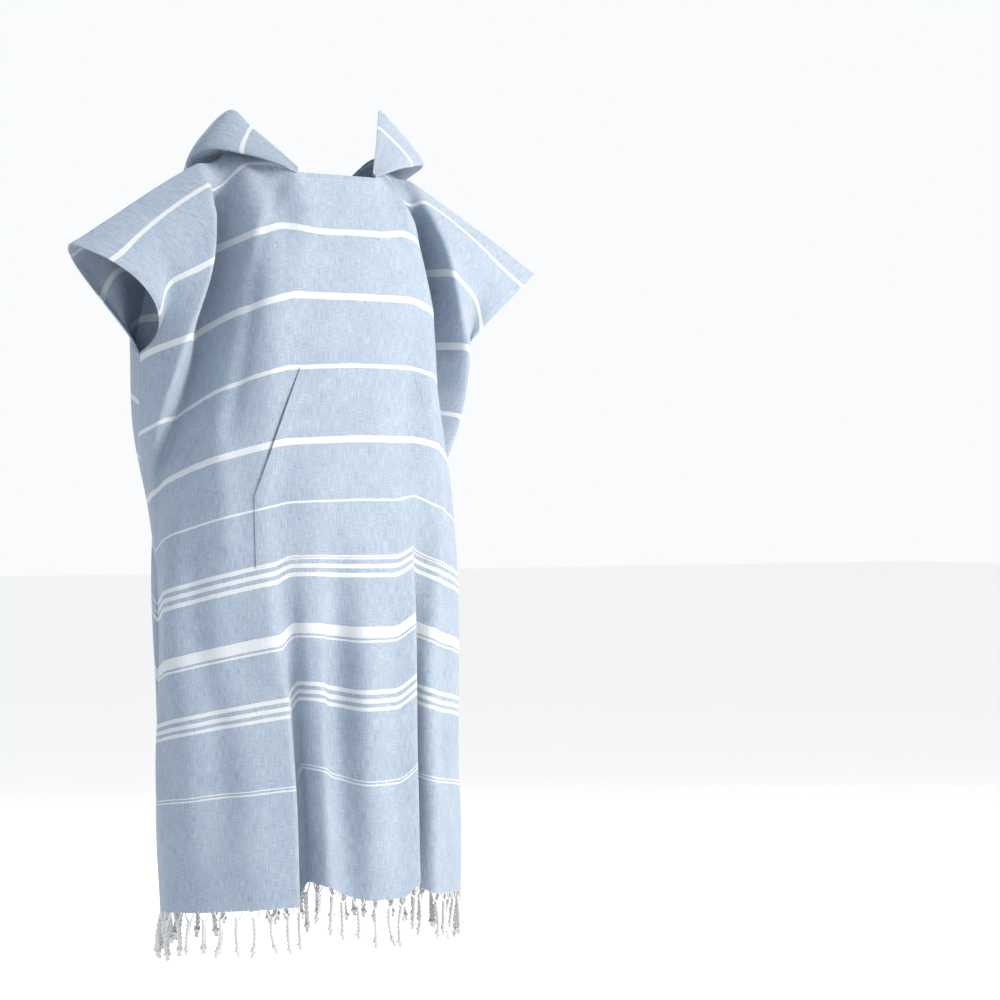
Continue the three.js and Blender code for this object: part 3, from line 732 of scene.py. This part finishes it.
class Nodes:
    """A material's node tree, with short calls to add and join nodes."""

    def __init__(self, name):
        self.material = bpy.data.materials.new(name)
        self.material.use_nodes = True
        self.tree = self.material.node_tree
        self.tree.nodes.clear()
        self.shader = self.add("ShaderNodeBsdfPrincipled")
        output = self.add("ShaderNodeOutputMaterial")
        self.join(self.shader.outputs["BSDF"], output.inputs["Surface"])

    def add(self, kind, **settings):
        node = self.tree.nodes.new(kind)
        for name, value in settings.items():
            setattr(node, name, value)
        return node

    def join(self, source, target):
        self.tree.links.new(source, target)

    def put(self, value, target):
        if isinstance(value, bpy.types.NodeSocket):
            self.join(value, target)
        else:
            target.default_value = value

    def math(self, operation, a, b=0.0, c=None):
        node = self.add("ShaderNodeMath", operation=operation)
        self.put(a, node.inputs[0])
        self.put(b, node.inputs[1])
        if c is not None:
            self.put(c, node.inputs[2])
        return node.outputs[0]

    def between(self, x, low, high, to_low=0.0, to_high=1.0):
        node = self.add("ShaderNodeMapRange", clamp=True)
        names = ("Value", "From Min", "From Max", "To Min", "To Max")
        for name, value in zip(names, (x, low, high, to_low, to_high)):
            self.put(value, node.inputs[name])
        return node.outputs[0]

    def noise(self, vector, scale, detail=2.0):
        node = self.add("ShaderNodeTexNoise")
        self.join(vector, node.inputs["Vector"])
        node.inputs["Scale"].default_value = scale
        node.inputs["Detail"].default_value = detail
        return node.outputs["Fac"]

    def blend(self, part, a, b):
        node = self.add("ShaderNodeMix", data_type="RGBA")
        self.put(part, node.inputs[0])
        for value, target in ((a, node.inputs[6]), (b, node.inputs[7])):
            self.put((*value, 1.0) if isinstance(value, tuple) else value, target)
        return node.outputs[2]

    def stretched(self, vector, scale):
        node = self.add("ShaderNodeMapping")
        self.join(vector, node.inputs["Vector"])
        node.inputs["Scale"].default_value = scale
        return node.outputs["Vector"]

    def bump(self, height, distance, strength=1.0):
        node = self.add("ShaderNodeBump")
        self.join(height, node.inputs["Height"])
        node.inputs["Distance"].default_value = distance
        node.inputs["Strength"].default_value = strength
        self.join(node.outputs["Normal"], self.shader.inputs["Normal"])


def stripe_mask(nodes, down, stripes):
    """1 on the stripes and 0 between them, from colour ramps over the place down in metres."""
    bands = sorted((at + a, at + b) for at, group in stripes for a, b in group)
    per_ramp = RAMP_STOPS // 2 - 1
    mask = 0.0
    for first in range(0, len(bands), per_ramp):
        some = bands[first : first + per_ramp]
        low, high = some[0][0] - 20, some[-1][1] + 20
        ramp = nodes.add("ShaderNodeValToRGB")
        elements = ramp.color_ramp.elements
        ramp.color_ramp.interpolation = "CONSTANT"
        elements[0].position, elements[0].color = 0, (0, 0, 0, 1)
        elements.remove(elements[1])
        for start, end in some:
            for place, level in ((start, 1), (end, 0)):
                element = elements.new((place - low) / (high - low))
                element.color = (level, level, level, 1)
        nodes.join(nodes.between(down, low * MM, high * MM), ramp.inputs["Fac"])
        mask = nodes.math("MAXIMUM", ramp.outputs["Color"], mask)
    return mask


def woven_material(name, settings, stripes):
    """Flat-woven cotton: blue weft and pale warp in a plain weave, uneven yarns both ways, and
    stripes where the weft is white."""
    nodes = Nodes(name)
    places = nodes.add("ShaderNodeUVMap", uv_map="Cloth").outputs["UV"]
    split = nodes.add("ShaderNodeSeparateXYZ")
    nodes.join(places, split.inputs[0])
    across, down = split.outputs["X"], split.outputs["Y"]
    turns = 2 * math.pi / settings.yarn_pitch
    warp = nodes.math("SINE", nodes.math("MULTIPLY", across, turns))
    weft = nodes.math("SINE", nodes.math("MULTIPLY", down, turns))
    weave = nodes.math("MULTIPLY", warp, weft)
    weft_slub = nodes.noise(nodes.stretched(places, (0.09, 1.0, 1.0)), 900, 3)
    warp_slub = nodes.noise(nodes.stretched(places, (1.0, 0.07, 1.0)), 760, 3)
    cloudy = nodes.noise(places, 14, 3)
    waver = nodes.noise(nodes.stretched(places, (0.2, 1.0, 1.0)), 300, 2)
    edge = nodes.math("ADD", down, nodes.between(waver, 0, 1, -0.0007, 0.0007))
    mask = stripe_mask(nodes, edge, stripes)
    weft_grain = nodes.between(weft_slub, 0.3, 0.7, -0.5, 0.5)
    warp_grain = nodes.between(warp_slub, 0.3, 0.7, -0.6, 0.6)
    grain = nodes.math("ADD", weft_grain, warp_grain)
    pale = nodes.math("ADD", nodes.math("MULTIPLY", grain, 0.3), nodes.math("MULTIPLY", weave, 0.1))
    pale = nodes.math("ADD", pale, nodes.between(cloudy, 0.3, 0.7, 0.42, 0.54))
    shade = nodes.between(pale, 0, 1)
    cloth = nodes.blend(shade, tuple(settings.weft_colour), tuple(settings.warp_colour))
    white = nodes.blend(shade, tuple(settings.stripe_shade), tuple(settings.stripe_colour))
    nodes.join(nodes.blend(mask, cloth, white), nodes.shader.inputs["Base Color"])
    nodes.join(nodes.between(pale, 0, 1, 0.92, 0.8), nodes.shader.inputs["Roughness"])
    nodes.shader.inputs["Specular IOR Level"].default_value = 0.18
    nodes.shader.inputs["Sheen Weight"].default_value = 0.12
    nodes.shader.inputs["Sheen Roughness"].default_value = 0.5
    height = nodes.math("ADD", nodes.math("MULTIPLY", weave, 0.3), nodes.math("MULTIPLY", grain, 0.7))
    height = nodes.math("ADD", height, nodes.math("MULTIPLY", mask, 0.5))
    nodes.bump(height, 0.00025, 0.8)
    return nodes.material


def yarn_material(name, colour):
    """White cotton yarn: fine fibres along the cord, uneven in shade."""
    nodes = Nodes(name)
    places = nodes.add("ShaderNodeTexCoord").outputs["Object"]
    fibres = nodes.noise(nodes.stretched(places, (1.0, 1.0, 0.35)), 1600, 3)
    cloudy = nodes.noise(places, 60, 2)
    darker = tuple(c * 0.8 for c in colour)
    shades = nodes.blend(nodes.between(cloudy, 0.3, 0.7), darker, colour)
    nodes.join(shades, nodes.shader.inputs["Base Color"])
    nodes.join(nodes.between(fibres, 0.3, 0.7, 0.95, 0.8), nodes.shader.inputs["Roughness"])
    nodes.shader.inputs["Specular IOR Level"].default_value = 0.15
    nodes.bump(fibres, 0.0004, 0.9)
    return nodes.material


def floor_material(colour):
    """Matt pale floor with a faint unevenness."""
    nodes = Nodes("pale_floor")
    places = nodes.add("ShaderNodeTexCoord").outputs["Object"]
    cloudy = nodes.noise(places, 3, 2)
    darker = tuple(c * 0.99 for c in colour)
    nodes.join(nodes.blend(cloudy, darker, colour), nodes.shader.inputs["Base Color"])
    nodes.shader.inputs["Roughness"].default_value = 0.9
    return nodes.material


def length_setting(name, description, default, least=0.0005):
    return FloatProperty(
        name=name, description=description, default=default, min=least, unit="LENGTH"
    )


def colour_setting(name, description, default):
    return FloatVectorProperty(
        name=name, description=description, default=default, min=0, max=1, subtype="COLOR"
    )


def power_setting(name, description, default):
    return FloatProperty(name=name, description=description, default=default, min=0, unit="POWER")


class ClothSettings(bpy.types.PropertyGroup):
    thickness: length_setting("Thickness", "Thickness of the cloth", 0.0012)
    hem: length_setting("Hem", "Width of the hems at the cuffs and the neckline", 0.012, 0.004)
    yarn_pitch: length_setting("Yarn pitch", "Distance between two raised yarns", 0.0022)
    weft_colour: colour_setting("Weft", "Colour of the blue weft", (0.098, 0.149, 0.230))
    warp_colour: colour_setting("Warp", "Colour of the pale warp", (0.315, 0.374, 0.455))
    stripe_colour: colour_setting("Stripe", "Colour of the white stripes", (0.42, 0.46, 0.51))
    stripe_shade: colour_setting("Stripe shade", "Colour between their yarns", (0.35, 0.39, 0.44))


class FringeSettings(bpy.types.PropertyGroup):
    strands: IntProperty(name="Strands", description="Strands along each hem", default=34, min=2)
    length: length_setting("Length", "Length of a strand", 0.066, 0.02)
    diameter: length_setting("Diameter", "Diameter of a strand", 0.0064, 0.001)
    colour: colour_setting("Colour", "Colour of the yarn", (0.50, 0.53, 0.57))


class StageSettings(bpy.types.PropertyGroup):
    floor_drop: length_setting("Floor", "Height of the neck above the floor", 1.45, 1.2)
    floor_colour: colour_setting("Floor colour", "Colour of the floor", (0.93, 0.93, 0.93))
    key_power: power_setting("Key light", "Power of the key light", 195)
    back_power: power_setting("Back light", "Power of the light behind", 150)
    fill_power: power_setting("Fill light", "Power of the fill light", 14)
    sky: FloatProperty(
        name="Sky", description="Strength of the light from all around", default=0.98, min=0
    )


def hem_half(settings, panel, across, down):
    """Half of the thickness of a panel: twice as thick over the hems of cuff and neckline."""
    hem = settings.hem / MM
    cuff = soft_step(HALF_CUT - hem - 2, HALF_CUT - hem + 2, np.abs(across)) * (down < ARMHOLE)
    at_neck = np.abs(across) < NECK_SIDE
    neck = (1 - soft_step(hem - 2, hem + 2, down - start_of(panel, across))) * at_neck
    return settings.thickness / MM / 2 * (1 + np.maximum(cuff, neck))


def build_panel(panel, settings, columns=197, lines=238):
    """Panel: a grid whose columns run down the cloth from its neckline or shoulder fold. Its lines
    lie closer together at the top, because the place down grows with a part and its square."""
    half_width = HALF_CUT - SEAM_GAP / 2
    across = np.linspace(-half_width, half_width, columns)[None, :]
    part = np.linspace(0, 1, lines)[:, None]
    share = 0.8 * part + 0.2 * part * part
    across, down = np.broadcast_arrays(across, mix(start_of(panel, across), PANEL_LENGTH, share))
    points = surface(panel, across, down)
    places = np.stack((across, down), -1)
    return cloth_shell(f"{panel.name}_cloth", points, hem_half(settings, panel, across, down), places)


def hood_point(side, around, loop):
    """Point of one half of the hood: around is 0 at the front corner of the neck and 1 at the
    middle of the back; loop is 0 at the neck seam, 0.5 at the bottom of the hanging fold and 1 at
    the edge of the face opening. Two cubic curves make the loop."""
    around, loop = np.broadcast_arrays(np.asarray(around, float), np.asarray(loop, float))

    def row(column):
        return read(HOOD_RINGS, column, around, "around")

    seams = [surface(p, row("across"), start_of(p, row("across"))) for p in (FRONT, BACK)]
    seam = np.where((around < HOOD_TIP)[..., None], *seams)
    seam[..., 2] += HOOD_LIFT
    tip = np.exp(-(((around - HOOD_TIP) / HOOD_TIP_REACH) ** 2))
    fold = np.stack((row("fold_x") + HOOD_SPREAD[side] * tip, row("fold_y"), row("fold_z")), -1)
    edge = np.stack((row("edge_x"), row("edge_y"), row("edge_z") + HOOD_RAISE[side] * tip), -1)
    size = np.linalg.norm(fold - seam, axis=-1)
    roll = np.minimum(HOOD_ROLL, size * 0.3)[..., None]
    away = unit((fold - seam * 0.4) * (1, 1, 0))
    sideways = away * roll * 4
    t = loop[..., None]
    under = curve(seam, sideways * 0.7, fold, sideways, np.minimum(1, t * 2))
    over = curve(fold, sideways, edge, -sideways * 0.3, np.maximum(0, t * 2 - 1))
    point = np.where(t < 0.5, under, over)
    return np.stack((side * np.maximum(point[..., 0], 0), point[..., 1], point[..., 2]), -1)


def hood_grid(side):
    """Grid of points of one half of the hood, closed at the middle of the back."""
    around = np.linspace(0, 1, HOOD_COLUMNS)[None, :]
    loop = np.linspace(0, 1, HOOD_LINES)[:, None]
    points = hood_point(side, around, loop)
    points[:, -1, 0] = side * HOOD_SEAM_GAP
    return points


def build_hood(side, settings):
    """Half of the hood: stripes run from the face edge to the fold, so the place down on its cloth
    is the distance along the face edge from the tip, and the place across is that up the loop."""
    points = hood_grid(side)
    ways = np.linalg.norm(np.diff(points[HOOD_STRIPE_LINE], axis=0), axis=-1)
    along = np.concatenate(((0,), np.cumsum(ways)))
    tip = np.interp(HOOD_TIP, np.linspace(0, 1, len(along)), along)
    rise = np.linalg.norm(np.diff(points[:, HOOD_STRIPE_COLUMN], axis=0), axis=-1)
    up = np.concatenate(((0,), np.cumsum(rise)))
    places = np.stack(np.broadcast_arrays(up[:, None], (tip - along)[None, :]), -1)
    half = settings.thickness / MM / 2
    from_edge = up[-1] - up
    hem = 1 - soft_step(settings.hem / MM + 3, settings.hem / MM + 7, from_edge)
    thick = np.broadcast_to((half * (1 + hem))[:, None], points.shape[:2])
    name = "hood_left_cloth" if side > 0 else "hood_right_cloth"
    return cloth_shell(name, points, thick, places)


def pocket_half(down):
    """Half of the pocket's width: it widens evenly along the slants and is even below them."""
    part = np.minimum(1, (down - POCKET.top) / POCKET.slant)
    return mix(POCKET.half_top, POCKET.half_bottom, part)


def build_pocket(settings, columns=88, lines=64):
    """Pocket: cloth that follows the front, sewn down along its top, sides and bottom, and standing
    a little off the front at the slanted hand openings."""
    down = np.linspace(POCKET.top, POCKET.bottom, lines)[:, None]
    part = np.linspace(-1, 1, columns)[None, :]
    across = POCKET.middle + pocket_half(down) * part
    across, down = np.broadcast_arrays(across, down)
    side = np.abs(np.broadcast_to(part, across.shape))
    below = down - POCKET.top
    slanted = np.clip(below / POCKET.slant, 0, 1)
    opening = soft_step(0.75, 1, side) * np.clip(np.sin(slanted * math.pi), 0, 1)
    whole = np.clip(below / (POCKET.bottom - POCKET.top), 0, 1)
    inner = (1 - side**8) * np.sin(whole * math.pi) ** 0.5
    lift = POCKET_LIFT + 1.2 * inner + 2.2 * opening
    points = surface(FRONT, across, down, lift)
    half = settings.thickness / MM / 2
    hem = soft_step(0.86, 0.88, side) * (below < POCKET.slant + 4)
    top = 1 - soft_step(7, 10, below)
    thick = half * (1 + 0.7 * np.maximum(hem, top))
    return cloth_shell("pocket_cloth", points, thick, np.stack((across, down), -1))


def build_fringe(panel, settings):
    """Fringe of one hem: two thin yarns from the hem meet in each strand, which is twisted from two
    plies, swells at its knot and ends in a short tuft."""
    chance = np.random.default_rng(21 if panel is FRONT else 22)
    count = settings.strands
    length = settings.length / MM
    radius = settings.diameter / MM / 2
    pitch = 2 * HALF_CUT / count
    across = (np.arange(count) + 0.5) * pitch - HALF_CUT
    level = np.array((1, 1, 0))
    drop = np.array((0, 0, -1))
    at_hem = np.full(count, PANEL_LENGTH - 1.0)
    hem = surface(panel, across, at_hem)
    sideways = unit((surface(panel, across + 1, at_hem) - hem) * level)
    lean = chance.normal(0, FRINGE.lean, (count, 3)) * level
    long = length * chance.uniform(*FRINGE.length_share, count)
    meet = hem + drop * FRINGE.meets_below + lean * 0.1
    part = np.linspace(0, 1, FRINGE.rings)
    bow = np.sin(part * math.pi)[None, :, None] * chance.normal(0, FRINGE.bow, (count, 1, 3)) * level
    fall = (long - FRINGE.meets_below)[:, None, None] * part[None, :, None] * drop
    centres = meet[:, None] + lean[:, None] * (part**1.5)[None, :, None] + bow + fall
    knot = chance.uniform(*FRINGE.knot_share, (count, 1))
    bulge = np.exp(-(((part[None] - knot) / FRINGE.knot_half) ** 2))
    tuft = soft_step(0.03, 0.16, part[None] - knot)
    swell = 1 + FRINGE.knot_swell * bulge - 0.15 * tuft
    radii = radius * swell * soft_step(-0.12, 0.05, part)[None]
    parts = [tubes(centres, radii, 10, lobes=2, lobe_depth=0.24, turns=4.2)]
    steps = np.linspace(0, 1, FRINGE.yarn_rings)
    thin = np.broadcast_to(mix(*FRINGE.yarn_radius, steps), (count, FRINGE.yarn_rings))
    steps = steps[None, :, None]
    for way in (-1, 1):
        foot = surface(panel, across + way * pitch * 0.36, np.full(count, PANEL_LENGTH - 2.0))
        yarn = mix(foot[:, None], (meet + drop * 2.5)[:, None], steps)
        yarn = yarn + drop * 1.6 * np.sin(steps * math.pi)
        yarn = yarn + sideways[:, None] * way * np.sin(steps * math.pi) * 0.9
        parts.append(tubes(yarn, thin, 6, lobes=2, lobe_depth=0.15, turns=0.7))
    points, faces = joined(parts)
    return mesh_of(f"{panel.name}_fringe_cords", points, faces)


def panel_stitching(panel, settings):
    """Rows of stitches on a panel: the hem of each cuff, the neckline and beside each side seam."""
    hem = settings.hem / MM
    lift = settings.thickness / MM / 2 * 2
    edge = HALF_CUT - hem + 2
    sleeve = np.linspace(4, ARMHOLE - 4, 120)
    seam = np.linspace(ARMHOLE + 4, PANEL_LENGTH - 6, 300)
    neck = np.linspace(-NECK_SIDE + 12, NECK_SIDE - 12, 120)
    found = []
    for side in (-1, 1):
        found.append(stitch_row(panel, np.full_like(sleeve, side * edge), sleeve, lift))
        found.append(stitch_row(panel, np.full_like(seam, side * (HALF_CUT - 5)), seam, lift / 2))
    found.append(stitch_row(panel, neck, start_of(panel, neck) + hem - 3, lift))
    return joined(found)


def pocket_stitching(settings):
    """Rows of stitches round the pocket and along the hems of its hand openings."""
    lift = POCKET_LIFT + settings.thickness / MM * 0.85
    bottom = POCKET.bottom - 4
    slant_end = POCKET.top + POCKET.slant
    found = []
    for side in (-1, 1):
        down = np.linspace(slant_end, bottom, 70)
        found.append(stitch_row(FRONT, POCKET.middle + side * (POCKET.half_bottom - 4), down, lift))
        down = np.linspace(POCKET.top + 4, slant_end - 2, 60)
        across = POCKET.middle + side * (pocket_half(down) - 15)
        found.append(stitch_row(FRONT, across, down, lift + 1.8))
    reach = np.linspace(-POCKET.half_top + 3, POCKET.half_top - 3, 90)
    found.append(stitch_row(FRONT, POCKET.middle + reach, np.full_like(reach, POCKET.top + 5), lift))
    reach = np.linspace(-POCKET.half_bottom + 4, POCKET.half_bottom - 4, 120)
    found.append(stitch_row(FRONT, POCKET.middle + reach, np.full_like(reach, bottom), lift))
    return joined(found)


def hood_stitching(side, settings):
    """Rows of stitches on the hood: the hem of its face edge, its neck seam and its middle seam."""
    points = hood_grid(side)
    normals = grid_normals(points)
    half = settings.thickness / MM / 2
    found = []
    for place, lift in (
        (HOOD_EDGE_STITCHES, 2 * half),
        (HOOD_NECK_STITCHES, half),
        ((slice(4, -4), HOOD_BACK_STITCHES), half),
    ):
        for way in (-1, 1):
            line = points[place] + normals[place] * way * lift
            found.append(stitches(line, normals[place] * way))
    return joined(found)


class ClothOperator:
    """What the operators of the cloth pieces share: the settings and the materials."""

    bl_options = {"REGISTER"}

    def material(self, context, name):
        made = bpy.data.materials.get(f"{name}_weave")
        return made or woven_material(f"{name}_weave", context.scene.poncho_cloth, STRIPES[name])

    def thread(self, context):
        made = bpy.data.materials.get("sewing_thread")
        return made or yarn_material("sewing_thread", tuple(context.scene.poncho_fringe.colour))

    def sewn(self, context, name, rows_of_stitches, slot):
        """Piece that holds a piece's rows of stitches."""
        mesh = mesh_of(f"{name}_stitching", *rows_of_stitches)
        return add_piece(f"{name}_stitching", mesh, self.thread(context), [])


class PONCHO_OT_panels(ClothOperator, bpy.types.Operator):
    """Build the front and the back panel with their sleeves"""

    bl_idname = "poncho.panels"
    bl_label = "Front and back panel"

    def execute(self, context):
        settings = context.scene.poncho_cloth
        for panel in (FRONT, BACK):
            name = panel.name
            mesh = build_panel(panel, settings)
            woven = self.material(context, name)
            piece = add_piece(f"{name}_cloth", mesh, woven, [f"{name}_panel"])
            sewn = self.sewn(context, name, panel_stitching(panel, settings), "woven_cloth")
        return {"FINISHED"}


class PONCHO_OT_hood(ClothOperator, bpy.types.Operator):
    """Build the two halves of the hood"""

    bl_idname = "poncho.hood"
    bl_label = "Hood"

    def execute(self, context):
        settings = context.scene.poncho_cloth
        for side, name in ((1, "hood_left"), (-1, "hood_right")):
            mesh = build_hood(side, settings)
            woven = self.material(context, "hood")
            piece = add_piece(f"{name}_cloth", mesh, woven, [name])
            sewn = self.sewn(context, name, hood_stitching(side, settings), "hood_cloth")
        return {"FINISHED"}


class PONCHO_OT_pocket(ClothOperator, bpy.types.Operator):
    """Build the pocket on the front"""

    bl_idname = "poncho.pocket"
    bl_label = "Pocket"

    def execute(self, context):
        settings = context.scene.poncho_cloth
        mesh = build_pocket(settings)
        woven = self.material(context, "front")
        piece = add_piece("pocket_cloth", mesh, woven, ["front_pocket"])
        sewn = self.sewn(context, "pocket", pocket_stitching(settings), "pocket_cloth")
        return {"FINISHED"}


class PONCHO_OT_fringe(ClothOperator, bpy.types.Operator):
    """Build the fringe of both hems"""

    bl_idname = "poncho.fringe"
    bl_label = "Fringe"

    def execute(self, context):
        settings = context.scene.poncho_fringe
        yarn = yarn_material("fringe_yarn", tuple(settings.colour))
        for panel in (FRONT, BACK):
            name = f"{panel.name}_fringe"
            mesh = build_fringe(panel, settings)
            add_piece(f"{name}_cords", mesh, yarn, [name])
        return {"FINISHED"}


# Camera of the photograph: it stands level with the middle of the poncho
VIEW_AZIMUTH = math.radians(-32)
VIEW_DISTANCE = 4.1
VIEW_HEIGHT = -0.48
VIEW_YAW = 0.067253
VIEW_HALF_WIDTH = 0.1727  # tangent of half of the picture's angle
FLOOR_HALF = 30

# Lights: how far they stand to the right of the camera's line, towards the camera and up, their
# widths and their colours
LIGHTS = (
    ("key_light", (2.69, 1.31, 1.3), 1.3, (1.0, 0.89, 0.75)),
    ("back_light", (-0.5, -2.5, 2.4), 1.6, (1.0, 0.90, 0.78)),
    ("fill_light", (-0.9, 3.0, 0.7), 1.8, (0.9, 0.95, 1.0)),
)
SKY_COLOUR = (0.97, 0.985, 1.0, 1)


def look(location, direction):
    """Matrix of a camera or light at a place that looks in a direction."""
    turned = direction.to_track_quat("-Z", "Y").to_matrix().to_4x4()
    return Matrix.Translation(location) @ turned


class PONCHO_OT_stage(bpy.types.Operator):
    """Build the floor, the studio lights and the camera"""

    bl_idname = "poncho.stage"
    bl_label = "Floor, lights and camera"

    def execute(self, context):
        settings = context.scene.poncho_stage
        scene = context.scene
        back = Vector((math.sin(VIEW_AZIMUTH), -math.cos(VIEW_AZIMUTH), 0))
        right = Vector((math.cos(VIEW_AZIMUTH), math.sin(VIEW_AZIMUTH), 0))
        centre = Vector((0, 0, VIEW_HEIGHT))

        lens = bpy.data.cameras.new("photo_camera")
        lens.sensor_width = 36
        lens.lens = lens.sensor_width / 2 / VIEW_HALF_WIDTH
        lens.clip_end = 100
        camera = bpy.data.objects.new("photo_camera", lens)
        scene.collection.objects.link(camera)
        ahead = right * math.sin(VIEW_YAW) - back * math.cos(VIEW_YAW)
        camera.matrix_world = look(centre + back * VIEW_DISTANCE, ahead)
        scene.camera = camera

        corners = np.array(((-1, -1), (1, -1), (1, 1), (-1, 1)), float) * FLOOR_HALF
        points = np.column_stack((corners, np.full(4, -settings.floor_drop))) / MM
        mesh = mesh_of("pale_floor", points, [np.array(((0, 1, 2, 3),))])
        mesh.materials.append(floor_material(tuple(settings.floor_colour)))
        floor = bpy.data.objects.new("pale_floor", mesh)
        scene.collection.objects.link(floor)

        powers = (settings.key_power, settings.back_power, settings.fill_power)
        for (name, place, width, tint), power_of in zip(LIGHTS, powers):
            light = bpy.data.lights.new(name, "AREA")
            light.shape = "DISK"
            light.size = width
            light.energy = power_of
            light.color = tint
            lamp = bpy.data.objects.new(name, light)
            scene.collection.objects.link(lamp)
            aside, near, up = place
            away = right * aside + back * near + Vector((0, 0, up))
            lamp.matrix_world = look(centre + away, -away)

        world = bpy.data.worlds.new("studio")
        world.use_nodes = True
        sky = world.node_tree.nodes["Background"]
        sky.inputs["Color"].default_value = SKY_COLOUR
        sky.inputs["Strength"].default_value = settings.sky
        scene.world = world
        scene.view_settings.view_transform = "Standard"
        return {"FINISHED"}


class PONCHO_PT_sidebar(bpy.types.Panel):
    """Sizes, colours and pieces of the poncho"""

    bl_idname = "PONCHO_PT_sidebar"
    bl_label = "Hooded bath poncho"
    bl_space_type = "VIEW_3D"
    bl_region_type = "UI"
    bl_category = "Poncho"

    def draw(self, context):
        scene = context.scene
        for group in (scene.poncho_cloth, scene.poncho_fringe, scene.poncho_stage):
            for name in group.__annotations__:
                self.layout.prop(group, name)
        for operator in OPERATORS:
            self.layout.operator(operator.bl_idname)


OPERATORS = (PONCHO_OT_panels, PONCHO_OT_hood, PONCHO_OT_pocket, PONCHO_OT_fringe, PONCHO_OT_stage)
CLASSES = (ClothSettings, FringeSettings, StageSettings, *OPERATORS, PONCHO_PT_sidebar)


def register():
    for made in CLASSES:
        bpy.utils.register_class(made)
    bpy.types.Scene.poncho_cloth = PointerProperty(type=ClothSettings)
    bpy.types.Scene.poncho_fringe = PointerProperty(type=FringeSettings)
    bpy.types.Scene.poncho_stage = PointerProperty(type=StageSettings)


def unregister():
    del bpy.types.Scene.poncho_cloth
    del bpy.types.Scene.poncho_fringe
    del bpy.types.Scene.poncho_stage
    for made in reversed(CLASSES):
        bpy.utils.unregister_class(made)


def main():
    register()
    bpy.ops.poncho.panels()
    bpy.ops.poncho.hood()
    bpy.ops.poncho.pocket()
    bpy.ops.poncho.fringe()
    bpy.ops.poncho.stage()


if __name__ == "__main__":
    main()
